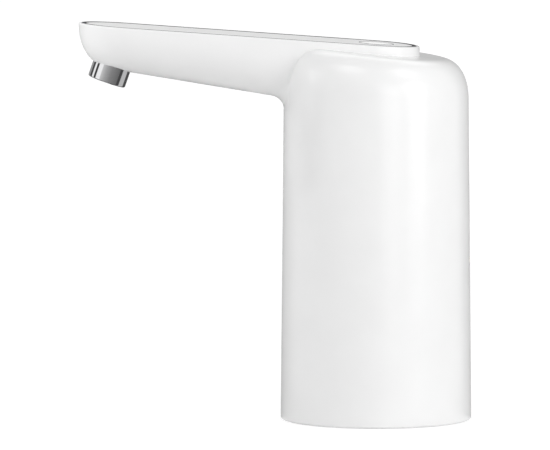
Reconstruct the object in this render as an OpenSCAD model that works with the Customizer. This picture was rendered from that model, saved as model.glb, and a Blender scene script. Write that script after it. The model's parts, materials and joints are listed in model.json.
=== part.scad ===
// Electric pump for a large drinking-water jug, in millimetres.
// The body stands on the jug's neck and pours through a boat-shaped spout that points to -X.
// The origin is on the neck's axis at the foot of the body, with +Z up.

/* [Body] */
// Outer diameter of the body at its foot
body_d = 74; // [73:0.5:80]
// Height of the body's crown above its foot
body_h = 141.6; // [141:0.1:150]
// Draft of the body's side, in degrees
draft = 0.55; // [0.2:0.05:0.7]
// Height of the rounded shoulder
shoulder_h = 20; // [14:0.5:22]
// Radial width of the rounded shoulder
shoulder_w = 20.9; // [16:0.1:23]
// Fullness of the shoulder's curve, 2 being an ellipse
shoulder_n = 3; // [2.4:0.1:4]
// Radius of the edge that the body stands on
foot_r = 0.9; // [0.4:0.1:1.4]
// Wall of the housing
wall = 2.2; // [1.8:0.1:2.4]

/* [Spout] */
// Reach of the spout's tip from the body's axis
spout_reach = 115.2; // [110:0.1:125]
// Reach of the raised rim behind the body's axis
rear_reach = 16.8; // [16:0.1:20]
// Width of the raised rim
top_w = 31; // [29:0.5:36]
// Height of the rim's plane on the body's axis, above the crown
top_rise = 4.4; // [3.8:0.1:6]
// Slope of the rim's plane, rising towards the spout's tip, in degrees
top_tilt = 4.03; // [2:0.01:6]
// Length of the rounded end of the rim at the spout's tip
front_len = 19.4; // [15:0.1:24]
// Length of the rounded end of the rim behind the axis
rear_len = 17.2; // [14:0.1:20]
// Depth of the spout where it leaves the body
root_depth = 23.5; // [22:0.1:28]
// Depth of the spout at its tip, before the bow rounds it off
tip_depth = 16.1; // [15.5:0.1:20]
// Length of the rounded bow under the tip
bow_len = 13.2; // [10:0.1:18]
// Fullness of the bow and of the spout's U section
bow_n = 2.33; // [2:0.01:3]
// Radius of the blend between the spout and the body
blend_r = 5; // [4:0.5:8]

/* [Top panel] */
// Width of the housing's rim around the panel
rim_w = 1.1; // [0.9:0.1:1.5]
// Width of the plated trim ring
trim_w = 1.5; // [1.2:0.1:2]
// Depth of the trim ring's face below the rim
trim_drop = 0.5; // [0.3:0.1:0.7]
// Height of the trim ring
trim_h = 1.2; // [1:0.1:1.3]
// Depth of the panel's face below the rim
panel_drop = 0.2; // [0:0.1:0.4]
// Thickness of the panel's edge flange, under the trim ring
flange_t = 1.4; // [1.2:0.1:2]
// Width of the ledge that carries the panel
ledge_w = 1.7; // [1.4:0.1:2]

/* [Button] */
// Diameter of the button
button_d = 13; // [12:0.1:14]
// Height of the button's edge above the rim
button_rise = 0.3; // [0.1:0.1:0.6]
// Travel of the button
button_travel = 0.6; // [0.4:0.1:0.8]
// Depth of the dish in the button's face
dish_depth = 0.7; // [0.4:0.1:1]
// Width of the button's retaining lip
lip_w = 1.2; // [0.8:0.1:1.4]

/* [Nozzle] */
// Outer diameter of the chrome sleeve
nozzle_d = 14.7; // [14:0.1:15.5]
// Bore of the chrome sleeve
nozzle_bore_d = 11.6; // [11.2:0.1:12]
// Length of the chrome sleeve
nozzle_len = 8.6; // [8:0.1:9]
// Tilt of the nozzle away from the body, in degrees
nozzle_tilt = 19.2; // [14:0.1:22]
// Distance of the nozzle's mouth from the spout's tip, along the spout
nozzle_back = 10.6; // [10:0.1:13]
// Height of the nozzle's mouth below the rim's plane
nozzle_drop = 22.3; // [21.5:0.1:23]

/* [Jug neck] */
// Diameter of the socket for the jug's neck
neck_d = 55.5; // [54:0.1:56]
// Depth of the straight wall of the socket
neck_depth = 26; // [22:0.5:28]
// Thickness of the neck's gasket
gasket_t = 3; // [2:0.1:4]
// Radial width of the gasket
gasket_w = 10; // [8:0.5:11]
// Outer diameter of the suction spigot
spigot_d = 8; // [7:0.1:9]
// Length of the suction spigot
spigot_len = 13; // [10:0.5:15]
// Outer diameter of the well around the spigot
well_d = 22.8; // [22:0.1:23.4]

/* [Hoses] */
// Bore of the inner hoses
hose_bore_d = 5.7; // [5.4:0.1:6]
// Outer diameter of the inner hoses
hose_d = 8; // [7.6:0.1:8.6]
// Radius of the outlet hose's bend into the spout
hose_bend_r = 24; // [20:0.5:26]
// Bore of the water's way through the fittings
bore_d = 3.6; // [3:0.1:4]

/* [Pump] */
// Diameter of the pump
pump_d = 28; // [27.6:0.1:28.4]
// Height of the pump's cover
cover_h = 8; // [7.5:0.1:8.5]
// Thickness of the valve plate
valve_t = 2; // [1.6:0.1:2.4]
// Thickness of the diaphragm's flange
diaphragm_t = 1.2; // [1:0.1:1.5]
// Pitch radius of the pump's three chambers
cup_pitch_r = 6.2; // [6:0.1:6.4]
// Tilt of the wobble plate, in degrees
wobble_tilt = 7; // [4:0.5:8]
// Diameter of the crank pin
pin_d = 1.6; // [1.4:0.1:1.8]

/* [Motor] */
// Diameter of the motor
motor_d = 24.4; // [24:0.1:25]
// Room between the motor's can and the switch board's screws
motor_room = 11; // [10:0.1:14]
// Diameter of the motor's shaft
shaft_d = 2; // [1.8:0.1:2.3]
// Diameter of the armature
armature_d = 17.2; // [16:0.1:17.6]

/* [Battery and boards] */
// Room between the battery cell and the chassis's edge
cell_edge = 1.15; // [1:0.05:1.4]
// Length of the battery cell
cell_len = 65; // [60:0.5:66]
// Thickness of the circuit boards
board_t = 1.6; // [1.2:0.1:1.8]
// Width of the main board
board_w = 32; // [28:0.5:34]
// Height of the main board
board_h = 58; // [50:0.5:60]
// Length of the charging socket behind the main board
usb_len = 9.8; // [9:0.1:11]
// Height of the charging socket above the foot
usb_z = 62; // [58:0.5:68]
// Diameter of the leads
lead_d = 1.2; // [1:0.1:1.4]

/* [Fits] */
// Clearance between fixed pieces
seat_gap = 0.1; // [0.05:0.01:0.15]
// Clearance between the housing and what slides into it
entry_gap = 0.3; // [0.2:0.05:0.4]
// Radial clearance of a pin or shaft that turns
run_gap = 0.04; // [0.02:0.01:0.08]
// Radius of the small screws
screw_r = 1.1; // [1:0.05:1.2]

/* [Hidden] */
$fn = 64;

// How far a cutting shape runs past the face that it cuts
cut = 1;

// Body
base_r = body_d / 2;
shoulder_z = body_h - shoulder_h;
shoulder_c = base_r - shoulder_z * tan(draft) - shoulder_w;
shoulder_steps = 14;
foot_steps = 5;
seam_turn = 40;

// Rim and spout
top_z = body_h + top_rise;
front_c = spout_reach - front_len;
rear_c = rear_reach - rear_len;
end_steps = 12;
u_steps = 20;
blend_step = 2;
plain_step = 12;
blend_fade = 0.5;
blend_end = 0.65;
blend_bite = 0.3;
blend_turns = 14;
end_angle = 87;
ledge_inset = rim_w + ledge_w;

// Panel, measured along the rim's normal from the rim's plane
trim_inset = rim_w + seat_gap;
panel_inset = trim_inset + trim_w + seat_gap;
flange_top = -trim_drop - trim_h - seat_gap;
panel_bottom = flange_top - flange_t;

// Button and switch, measured the same way
button_r = button_d / 2;
lip_t = 1;
lip_top = panel_bottom - seat_gap;
stem_r = 2;
plunger_r = 1.75;
button_stem = 0.8;
plunger_top = lip_top - lip_t - seat_gap - button_stem;
plunger_h = 2.4;
plunger_room = 0.5;
switch_w = 6;
switch_h = 3.5;
switch_top = plunger_top - button_travel - plunger_room;
switch_board_top = switch_top - switch_h;
switch_board_l = 26;
switch_board_w = 12;
switch_post_x = 10.5;
switch_post_r = 2;
small_screw_r = 0.8;
switch_screw_grip = 3;
switch_floor = 0.5;
small_head_r = 1.6;
small_head_h = 1;
screw_gap = 0.05;
press_gap = 0.02;
head_r = 2.3;
head_h = 1.6;
recess_w = 1.3;

// Nozzle, measured along its axis from the mouth
nozzle_x = -(spout_reach - nozzle_back);
nozzle_z = top_z - nozzle_x * tan(top_tilt) - nozzle_drop;
insert_z = 0.5;
insert_h = 3;
insert_hole_r = 0.7;
insert_ring_r = 3.4;
insert_holes = 8;
web_h = 1.8;
nut_h = 2.6;
nut_r = 5.4;
stem_d = 8;
socket_wall = 1.8;
socket_floor = 1.8;
socket_root = 0.5;
socket_top = nozzle_len + seat_gap + socket_floor;
o_ring_d = 1.6;
elbow_flange_t = 1;
hose_room = 0.4;
hose_drop = -panel_bottom + hose_d / 2 + hose_room;
elbow_z = (nozzle_drop - hose_drop / cos(top_tilt)) / (cos(nozzle_tilt) + sin(nozzle_tilt) * tan(top_tilt));
elbow_back = 3.6;
elbow_front = 6;
elbow_barrel_r = 3.4;
barb_r = hose_bore_d / 2 - seat_gap / 2;
barb_len = 12;

// Jug neck
neck_r = neck_d / 2;
collar_wall = 2.6;
collar_foot_h = 2;
collar_skirt = 1.8;
plate_z = neck_depth + gasket_t;
plate_t = 3;
plate_top = plate_z + plate_t;
collar_r = base_r - plate_z * tan(draft) - wall - seat_gap;
gasket_lip = 1.2;
gasket_r = neck_r + gasket_lip;
spigot_r = spigot_d / 2;
seal_t = 1;
fitting_flange_t = 1.6;
roof_t = 2.5;
spigot_drop = 1;
roof_z = plate_z - spigot_drop + spigot_len + fitting_flange_t + seal_t;
well_r = well_d / 2;
well_wall = 2;
roof_top = roof_z + roof_t;
fitting_r = 4.8;
fitting_flange_r = 6.6;
fitting_nut_r = 7.4;
fitting_nut_h = 2.8;
nut_room = 0.3;
inlet_barb_z = roof_top + fitting_nut_h + nut_room;
base_screw_angles = [0, 120, 240];
base_screw_room = 1.4;
base_screw_r = well_r + head_r + base_screw_room;
base_screw_grip = 4;

// Chassis
floor_lift = 4;
floor_z = plate_top + floor_lift;
floor_t = 2.5;
floor_top = floor_z + floor_t;
chassis_r = base_r - floor_top * tan(draft) - wall - entry_gap;
boss_r = 3;
boss_h = 19;
boss_sink = 0.8;
boss_pos = base_r - (floor_top + boss_h) * tan(draft) - wall - boss_r + boss_sink;
boss_angles = [60, 180, 300];
boss_grip = 9;
stool_r = pump_d / 2;
stool_wall = 2;
stool_cap = 1.8;
post_r = 2.6;
post_pos = 20.5;
post_angles = [135, 225, 315];
post_hole = 9;
cushion_t = 1.5;
rail_w = 3.4;
rail_t = 2;
rail_h = 34;
slot_depth = 1.4;

// Pump, from its cover up to the motor's face
pump_r = pump_d / 2;
pivot_lift = 5;
pivot_r = 1.6;
pivot_post_r = 2.3;
pivot_post_drop = 0.5;
eccentric_lift = 6;
eccentric_h = 5;
eccentric_r = 5;
eccentric_room = 0.6;
pump_top_t = 2.5;
pump_h = cover_h + valve_t + pivot_lift + eccentric_lift + eccentric_h + eccentric_room + pump_top_t;

// Drive, which shares the height between the inlet and the switch board out to the inlet hose and the motor
hose_share = 0.35;
barb_room = 2;
motor_top = top_z + switch_board_top - board_t - small_head_h - motor_room;
drive_room = motor_top - inlet_barb_z - pump_h;
hose_len = drive_room * hose_share;
motor_len = drive_room - hose_len;
inlet_barb_len = (hose_len - barb_room) / 2;
pump_barb_len = inlet_barb_len;
cover_z = inlet_barb_z + hose_len;
valve_z = cover_z + cover_h;
diaphragm_z = valve_z + valve_t;
crank_z = diaphragm_z + diaphragm_t;
pivot_z = diaphragm_z + pivot_lift;
eccentric_z = pivot_z + eccentric_lift;
motor_z = motor_top - motor_len;

// Pump's chambers, screws and outlet
pump_wall = 2;
cup_angles = [60, 180, 300];
cup_r = 3.4;
cup_h = 2.6;
cup_wall = 0.8;
cup_roof = 1.4;
pump_screw_angles = [0, 120, 240];
pump_screw_edge = 2.6;
pump_screw_pos = pump_r - pump_screw_edge;
pump_screw_grip = 7;
pump_head_r = 1.7;
pump_head_h = 1;
pump_head_sink = 1.2;
pump_post_r = 2;
inlet_chamber_r = 5.2;
outlet_chamber_in = 6.2;
outlet_chamber_out = 8.8;
chamber_h = 5.5;
inlet_hole_pos = 4.4;
outlet_hole_pos = 7.5;
valve_hole_r = 0.7;
flap_t = 0.5;
flap_r = 1.2;
flap_edge = 0.3;
flap_shift = 0.45;
outlet_room = 1.5;
outlet_x = pump_r + hose_d / 2 + outlet_room;
outlet_z = cover_z + cover_h / 2;
outlet_boss_r = 3.4;
outlet_elbow_r = 3.8;
outlet_barb_z = cover_z + cover_h;
outlet_barb_len = 10;
outlet_root = 2;

// Crank, measured along its tilted axis from the pivot
hub_r = 1.9;
hub_low = 0.6;
hub_top = 4.9;
wobble_arm_w = 3;
wobble_arm_low = 2.2;
wobble_arm_top = 3.8;
wobble_eye_r = 2.2;
wobble_hole_r = 1.2;
pull_r = 1.1;
pull_low = -2.4;
pull_head_r = 1.7;
pull_head_low = 3.9;
pull_head_top = 4.8;
pin_low = 0.5;
pin_top = 7.8;
shaft_grip = 2.4;

// Motor
motor_r = motor_d / 2;
can_wall = 1;
shaft_r = shaft_d / 2;
bush_r = 2.4;
bush_h = 3;
motor_boss_r = 4;
motor_boss_h = 1.5;
cap_t = 2.2;
cap_boss_h = 1.6;
magnet_t = 1.8;
magnet_angle = 150;
stack_lift = 7;
stack_z = motor_z + stack_lift;
magnet_over = 2;
shaft_end = 0.4;
stack_room = 9.8;
stack_h = motor_len - stack_lift - stack_room;
winding_h = 2.6;
winding_r = armature_d / 2 - 1;
commutator_r = 2.6;
commutator_h = 4;
winding_hole = 1;
slot_w = 2.4;
commutator_slot = 0.4;
commutator_over = 0.6;
brush_drop = 1;
terminal_y = 6.6;
terminal_h = 3;
terminal_w = 2.8;
terminal_t = 0.5;
terminal_room = 0.15;
motor_screw_pos = 8;
motor_screw_end = 1;
motor_head_r = 1.9;
motor_head_h = 1;
brush_w = 3;
brush_t = 0.6;

// Bracket over the motor
bracket_z = motor_top + seat_gap;
bracket_t = 2.5;
bracket_hole_r = 9;
arm_w = 5;
foot_pad_r = 3.4;
eye_wall = 0.4;
bracket_grip = 6;

// Battery
cell_room = 0.7;
cell_d = chassis_r - stool_r - cell_room - cell_edge;
cell_r = cell_d / 2;
cell_y = stool_r + cell_room + cell_r;
tab_t = 0.3;
cell_z = floor_top + tab_t + 2 * seat_gap;
cell_top = cell_z + cell_len;
cradle_h = 10;
cradle_wall = 1.2;
tab_w = 7;
tab_inset = 1.15;
tab_over = 1.75;
tab_l = cell_d - 2 * tab_inset;
tab_reach = cell_r + entry_gap + cradle_wall + tab_over;
cell_cap_r = 3;
cell_rim = 1;
cell_cap_h = 0.4;
cradle_slot_h = 3;

// Boards
board_z = floor_top + seat_gap;
usb_w = 8.9;
usb_h = 3.2;
usb_wall = 0.4;
usb_gap = 0.3;
usb_inset = 1;
usb_face = base_r - usb_z * tan(draft) - usb_inset;
board_x = usb_face - usb_len - board_t;
tongue_h = 0.8;
tongue_w = 6;
plug_drop = 8;
plug_z = board_z + board_h - plug_drop;
plug_y = 9;
plug_w = 6;
plug_l = 5;
plug_h = 6;
plug_wall = 1;
plug_floor = 2;
chip = [1.6, 8, 6];
chip_y = -4;
chip_z = 34;
coil = [3, 6, 6];
coil_y = -11;
coil_z = 20;
capacitor_r = 3.2;
capacitor_h = 5.4;
capacitor_y = 8;
capacitor_z = 23;
usb_back = 2;
tongue_root = 1;

// Outlet hose
hose_r = hose_d / 2;
hose_sides = 20;
bend_steps = 10;
elbow_x = nozzle_x + elbow_z * sin(nozzle_tilt);
elbow_up = nozzle_z + elbow_z * cos(nozzle_tilt);
bend_end_x = -outlet_x - hose_bend_r * (1 - sin(top_tilt));
bend_end_z = elbow_up - (bend_end_x - elbow_x) * tan(top_tilt);
bend_z = bend_end_z - hose_bend_r * cos(top_tilt);
hose_run = (bend_end_x - elbow_x) / cos(top_tilt) - elbow_front;

// Leads, from each terminal to its plug on the main board
lead_r = lead_d / 2;
lead_sides = 8;
lead_steps = 5;
plug_x = board_x - plug_l / 2;
plug_in = plug_z + plug_floor + seat_gap;
plug_mouth = plug_z + plug_h + lead_d;
motor_lead_y = plug_y - lead_d;
cell_lead_y = plug_y + lead_d;
motor_lead_z = motor_top + cap_t + terminal_h + lead_r + seat_gap;
motor_route = [
    [0, terminal_y, motor_lead_z],
    [motor_r / 4, terminal_y + lead_r, motor_lead_z + lead_r],
    [motor_r, motor_lead_y, motor_lead_z],
    [between(motor_r, plug_x, 0.75), motor_lead_y, between(motor_lead_z, plug_in, 0.25)],
    [plug_x, motor_lead_y, between(motor_lead_z, plug_in, 0.6)],
    [plug_x, motor_lead_y, plug_in]
];
switch_lead_drop = 1.2;
switch_lead_x = 7;
switch_lead_y = lead_d;
switch_pad_y = small_head_r + entry_gap + lead_r;
switch_lead_z = top_z + switch_board_top - board_t - switch_lead_drop;
switch_route = [
    [switch_lead_x, switch_pad_y, switch_lead_z],
    [switch_lead_x + 2 * lead_d, switch_pad_y, switch_lead_z - lead_d],
    [between(switch_lead_x, plug_x, 0.62), switch_pad_y, between(switch_lead_z, plug_in, 0.14)],
    [between(switch_lead_x, plug_x, 0.93), switch_lead_y, between(switch_lead_z, plug_in, 0.37)],
    [plug_x, switch_lead_y, between(switch_lead_z, plug_in, 0.61)],
    [plug_x, switch_lead_y, plug_in]
];
cell_lead_top = cell_top + tab_t + lead_r + seat_gap;
cell_route_up = [
    [tab_l / 2 - lead_d, cell_y, cell_lead_top],
    [tab_l / 2 + lead_d, cell_y - 2 * lead_r, cell_lead_top],
    [between(tab_l / 2, plug_x, 0.67), between(cell_y, cell_lead_y, 0.5), cell_lead_top],
    [plug_x, between(cell_y, cell_lead_y, 0.9), between(cell_lead_top, plug_in, 0.35)],
    [plug_x, cell_lead_y, plug_mouth],
    [plug_x, cell_lead_y, plug_in]
];
cell_lead_foot = floor_top + tab_t + lead_r + 3 * seat_gap;
cell_pad_y = 12;
cell_pad_z = cell_lead_foot + 3;
cell_route_down = [
    [tab_reach - lead_d, cell_y, cell_lead_foot],
    [tab_reach + lead_d, between(cell_y, cell_pad_y, 0.25), cell_lead_foot],
    [
        between(tab_reach, board_x, 0.5),
        between(cell_y, cell_pad_y, 0.75),
        between(cell_lead_foot, cell_pad_z, 0.7)
    ],
    [board_x - 2 * lead_d, cell_pad_y, cell_pad_z],
    [board_x - seat_gap, cell_pad_y, cell_pad_z]
];

// Shape functions

// Value a share of the way from one value to another
function between(a, b, share) = a + (b - a) * share;

// Outer radius of the body's straight side at a height
function side_r(z) = base_r - z * tan(draft);

// Radius of the body at a height, on a skin set in by an inset
function skin_r(z, inset = 0) = z <= shoulder_z
    ? side_r(z) - inset
    : shoulder_c + (shoulder_w - inset)
        * pow(max(0, 1 - pow(min(1, (z - shoulder_z) / (shoulder_h - inset)), shoulder_n)), 1 / shoulder_n);

// Shoulder's curve from the side to the crown
function shoulder(inset) = [
    for (i = [0:shoulder_steps])
        let (a = 90 * i / shoulder_steps)
        [shoulder_c + (shoulder_w - inset) * pow(cos(a), 2 / shoulder_n),
         shoulder_z + (shoulder_h - inset) * pow(sin(a), 2 / shoulder_n)]
];

// Foot's rounded edge
function foot() = [
    for (i = [0:foot_steps])
        let (a = 90 * i / foot_steps)
        [side_r(foot_r) - foot_r * (1 - sin(a)), foot_r * (1 - cos(a))]
];

// Height of the rim's plane above a point of the X axis
function rim_z(x) = top_z - x * tan(top_tilt);

// Half width of the rim at a station along X
function half_w(x, inset) = let (w = top_w / 2 - inset)
    -x > front_c ? w * sqrt(max(0, 1 - pow((-x - front_c) / (front_len - inset), 2)))
    : x > rear_c ? w * sqrt(max(0, 1 - pow((x - rear_c) / (rear_len - inset), 2)))
    : w;

// Depth of the spout under the rim's plane at a station along X
function depth(x, inset) =
    let (run = (-x - base_r) / (spout_reach - base_r),
         plain = root_depth + (tip_depth - root_depth) * run,
         bow = max(0, (-x - spout_reach + bow_len) / (bow_len - inset)))
    (plain - inset) * pow(max(0, 1 - pow(min(1, bow), bow_n)), 1 / bow_n);

// Outline of the rim's plane, set in by an inset, in the plane's own lengths
function rim_outline(inset) = let (w = top_w / 2 - inset, k = 1 / cos(top_tilt)) concat(
    [for (i = [0:2 * end_steps]) let (a = -90 + 90 * i / end_steps)
        [(rear_c + (rear_len - inset) * cos(a)) * k, w * sin(a)]],
    [for (i = [0:2 * end_steps]) let (a = 90 + 90 * i / end_steps)
        [(-front_c + (front_len - inset) * cos(a)) * k, w * sin(a)]]
);

// How far a point lies outside the skin that the blend runs into, just under the body's own
function body_gap(p) = norm([p.x, p.y]) - (p.z > body_h ? 0 : skin_r(p.z) - blend_bite);

// Blend radius, faded out towards the rim
function blend_at(z) =
    let (t = max(0, min(1, (shoulder_z + blend_end * shoulder_h - z) / (blend_fade * shoulder_h))))
    blend_r * t * t * (3 - 2 * t);

// Swell along a section's normal that rounds the corner between the spout and the body
function swell(p, n, k, low, high, turns) =
    let (mid = (low + high) / 2, gap = body_gap(p + mid * n))
    turns == 0 ? low
    : k - norm([max(0, k - gap), k - mid]) <= 0 ? swell(p, n, k, mid, high, turns - 1)
    : swell(p, n, k, low, mid, turns - 1);

// Point of the spout's U section at a station, from one rim edge round to the other,
// with its edges sunk below the rim's plane
function u_point(x, a, inset, sunk, blended) =
    let (w = half_w(x, inset), d = depth(x, inset), e = 2 / bow_n,
         cy = sign(cos(a)) * pow(abs(cos(a)), e), cz = pow(sin(a), e),
         p = [x, w * cy, rim_z(x) - sunk - (d - sunk) * cz],
         slope = [0, sign(cy) * pow(abs(cy), bow_n - 1) / w, -pow(cz, bow_n - 1) / d],
         n = slope / norm(slope), k = blend_at(p.z))
    blended && k > 0 ? p + n * swell(p, n, k, 0, k, blend_turns) : p;

// Stations along X, from the rim's rear end to the spout's tip
function stations(inset) = concat(
    [for (i = [0:end_steps]) rear_c + (rear_len - inset) * sin(end_angle * (1 - i / end_steps))],
    [for (x = [rear_c - plain_step:-plain_step:-base_r + 5 * blend_step]) x],
    [for (x = [-base_r + 4 * blend_step:-blend_step:-base_r - 5 * blend_step]) x],
    [for (x = [-base_r - 6 * blend_step:-plain_step:-front_c + blend_step]) x],
    [for (i = [0:end_steps]) -front_c - (front_len - inset) * sin(end_angle * i / end_steps)]
);

// Faces that join a stack of rings with the same number of points
function wall_faces(rings, sides) = concat(
    [for (i = [0:rings - 2], j = [0:sides - 1])
        let (a = i * sides + j, b = i * sides + (j + 1) % sides) [b, a, a + sides]],
    [for (i = [0:rings - 2], j = [0:sides - 1])
        let (a = i * sides + j, b = i * sides + (j + 1) % sides) [b, a + sides, b + sides]]
);

// The same stack with a flat face at each end
function stack_faces(rings, sides) = concat(
    [[for (j = [0:sides - 1]) j]],
    wall_faces(rings, sides),
    [[for (j = [sides - 1:-1:0]) (rings - 1) * sides + j]]
);

// Strips from side to side that close one end of the spout's loft
function end_strips(first, turned) = [
    for (j = [0:u_steps / 2 - 1])
        let (far = u_steps - j, s = j < u_steps / 2 - 1 ? [j, j + 1, far - 1, far] : [j, j + 1, far])
        [for (i = [0:len(s) - 1]) first + s[turned ? len(s) - 1 - i : i]]
];

// Point of a smooth curve through a route's points
function curve_point(route, i, t) =
    let (last = len(route) - 1, a = route[max(0, i - 1)], b = route[i], c = route[i + 1],
         d = route[min(last, i + 2)])
    ((2 * b) + (c - a) * t + (2 * a - 5 * b + 4 * c - d) * t * t
        + (3 * b - a - 3 * c + d) * t * t * t) / 2;

function curve(route) = concat(
    [for (i = [0:len(route) - 2], s = [0:lead_steps - 1]) curve_point(route, i, s / lead_steps)],
    [route[len(route) - 1]]
);

// Shared shapes

module rod(r, low, high) {
    translate([0, 0, low]) cylinder(r = r, h = high - low);
}

module tube(r_out, r_in, low, high) {
    difference() {
        rod(r_out, low, high);
        rod(r_in, low - cut, high + cut);
    }
}

module hex(r, low, high) {
    translate([0, 0, low]) cylinder(r = r, h = high - low, $fn = 6);
}

module block(size_x, size_y, low, high) {
    translate([-size_x / 2, -size_y / 2, low]) cube([size_x, size_y, high - low]);
}

module ring_of(angles, pos) {
    for (a = angles) rotate([0, 0, a]) translate([pos, 0, 0]) children();
}

// Screw with its head's seat at z = 0, its shank up and its head down
module screw_up(r, shank, r_head, h_head) {
    difference() {
        union() {
            rod(r, 0, shank);
            rod(r_head, -h_head, 0);
        }
        block(r_head * recess_w, h_head / 3, -h_head - cut, -h_head / 2);
        block(h_head / 3, r_head * recess_w, -h_head - cut, -h_head / 2);
    }
}

module screw_down(r, shank, r_head, h_head) {
    rotate([180, 0, 0]) screw_up(r, shank, r_head, h_head);
}

module on_rim() {
    translate([0, 0, top_z]) rotate([0, top_tilt, 0]) children();
}

module on_nozzle() {
    translate([nozzle_x, 0, nozzle_z]) rotate([0, nozzle_tilt, 0]) children();
}

module on_elbow() {
    translate([elbow_x, 0, elbow_up]) rotate([0, 90 + top_tilt, 0]) children();
}

module on_outlet() {
    translate([-outlet_x, 0, outlet_z]) rotate([0, 90, 0]) children();
}

module on_wobble() {
    translate([0, 0, pivot_z]) rotate([0, wobble_tilt, 0]) children();
}

module rim_plate(inset, low, high) {
    translate([0, 0, low]) linear_extrude(high - low) polygon(rim_outline(inset));
}

module spout_loft(inset, sunk, blended) {
    xs = stations(inset);
    points = [for (x = xs, j = [0:u_steps]) u_point(x, 180 * j / u_steps, inset, sunk, blended)];
    faces = concat(
        end_strips(0, false),
        wall_faces(len(xs), u_steps + 1),
        end_strips((len(xs) - 1) * (u_steps + 1), true)
    );
    polyhedron(points, faces, convexity = 6);
}

module lead(route, flip) {
    path = [for (p = curve(route)) [p.x, p.y * flip, p.z]];
    last = len(path) - 1;
    points = [
        for (i = [0:last])
            let (t = path[min(last, i + 1)] - path[max(0, i - 1)], dir = t / norm(t),
                 side = cross(dir, [0.2, 0.95, 0.24]), u = side / norm(side), v = cross(dir, u))
            for (j = [0:lead_sides - 1])
                let (a = 360 * j / lead_sides) path[i] + lead_r * (cos(a) * u + sin(a) * v)
    ];
    polyhedron(points, stack_faces(last + 1, lead_sides), convexity = 6);
}

// Housing and top

module housing_skin() {
    rotate([0, 0, seam_turn]) rotate_extrude()
        polygon(concat([[0, 0]], foot(), shoulder(0), [[0, body_h]]));
    spout_loft(0, 0, true);
}

module housing_hollow() {
    rotate([0, 0, seam_turn]) rotate_extrude()
        polygon(concat([[0, -cut], [side_r(-cut) - wall, -cut]], shoulder(wall), [[0, body_h - wall]]));
    spout_loft(ledge_inset, -panel_bottom / 2, false);
    on_rim() rim_plate(rim_w, panel_bottom - seat_gap, cut);
}

module housing() {
    color("white") difference() {
        housing_skin();
        difference() {
            housing_hollow();
            on_nozzle() rod(nozzle_d / 2 + socket_wall, nozzle_len - socket_root, socket_top);
            ring_of(boss_angles, boss_pos) rod(boss_r, floor_top + seat_gap, floor_top + boss_h);
        }
        on_nozzle() rod(nozzle_d / 2 + seat_gap, -cut, nozzle_len + seat_gap);
        on_nozzle() rod(stem_d / 2 + seat_gap, 0, socket_top + cut);
        ring_of(boss_angles, boss_pos) rod(screw_r + screw_gap, floor_z, floor_top + boss_h - cut);
        translate([base_r, 0, 0])
            block(4 * wall, usb_w + 2 * usb_gap, usb_z - usb_h / 2 - usb_gap, usb_z + usb_h / 2 + usb_gap);
    }
}

module top_panel() {
    color("lightgray") on_rim() difference() {
        union() {
            rim_plate(panel_inset, panel_bottom, -panel_drop);
            rim_plate(rim_w + seat_gap, panel_bottom, flange_top);
            for (s = [-1, 1]) translate([s * switch_post_x, 0, 0])
                rod(switch_post_r, switch_board_top + seat_gap, panel_bottom + flange_t / 2);
        }
        rod(button_r + seat_gap, panel_bottom - cut, cut);
        for (s = [-1, 1]) translate([s * switch_post_x, 0, 0])
            rod(small_screw_r + screw_gap, switch_board_top - cut, panel_bottom);
    }
}

module trim_ring() {
    color("dimgray") on_rim() difference() {
        rim_plate(trim_inset, -trim_drop - trim_h, -trim_drop);
        rim_plate(trim_inset + trim_w, -trim_drop - trim_h - cut, cut);
    }
}

module button() {
    edge_r = button_r - lip_t / 2;
    dish_r = (edge_r * edge_r + dish_depth * dish_depth) / (2 * dish_depth);
    color("white") on_rim() difference() {
        union() {
            rod(button_r, lip_top - lip_t / 2, button_rise);
            rod(button_r + lip_w, lip_top - lip_t, lip_top);
            rod(stem_r, plunger_top + seat_gap, lip_top - lip_t / 2);
        }
        translate([0, 0, button_rise - dish_depth + dish_r]) sphere(r = dish_r);
    }
}

// Nozzle

module nozzle_sleeve() {
    color("silver") on_nozzle() difference() {
        rod(nozzle_d / 2, 0, nozzle_len);
        rod(nozzle_bore_d / 2, -cut, nozzle_len - web_h);
        rod(stem_d / 2 + seat_gap, 0, nozzle_len + cut);
    }
}

module nozzle_insert() {
    color("gainsboro") on_nozzle() difference() {
        rod(nozzle_bore_d / 2 - seat_gap / 2, insert_z, insert_z + insert_h);
        rod(insert_hole_r, insert_z - cut, insert_z + insert_h + cut);
        ring_of([for (i = [1:insert_holes]) 360 * i / insert_holes], insert_ring_r)
            rod(insert_hole_r, insert_z - cut, insert_z + insert_h + cut);
    }
}

module nozzle_nut() {
    low = nozzle_len - web_h - seat_gap - nut_h;
    color("gainsboro") on_nozzle() difference() {
        hex(nut_r, low, low + nut_h);
        rod(stem_d / 2 + seat_gap / 2, low - cut, low + nut_h + cut);
    }
}

module nozzle_elbow() {
    low = nozzle_len - web_h - nut_h - 2 * seat_gap;
    flange_low = socket_top + o_ring_d;
    color("whitesmoke") difference() {
        union() {
            on_nozzle() rod(stem_d / 2, low, elbow_z);
            on_nozzle() rod(stem_d / 2 + o_ring_d, flange_low, flange_low + elbow_flange_t);
            on_elbow() rod(barb_r, 0, elbow_front + barb_len);
            on_elbow() rod(elbow_barrel_r, -elbow_back, elbow_front - seat_gap);
        }
        on_nozzle() rod(bore_d / 2, low - cut, elbow_z);
        on_elbow() rod(bore_d / 2, 0, elbow_front + barb_len + cut);
    }
}

module nozzle_o_ring() {
    r = o_ring_d / 2 - seat_gap / 2;
    color("dimgray") on_nozzle() translate([0, 0, socket_top + o_ring_d / 2])
        rotate_extrude() translate([stem_d / 2 + o_ring_d / 2 + seat_gap / 2, 0]) circle(r = r, $fn = 32);
}

// Socket for the jug's neck

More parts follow.
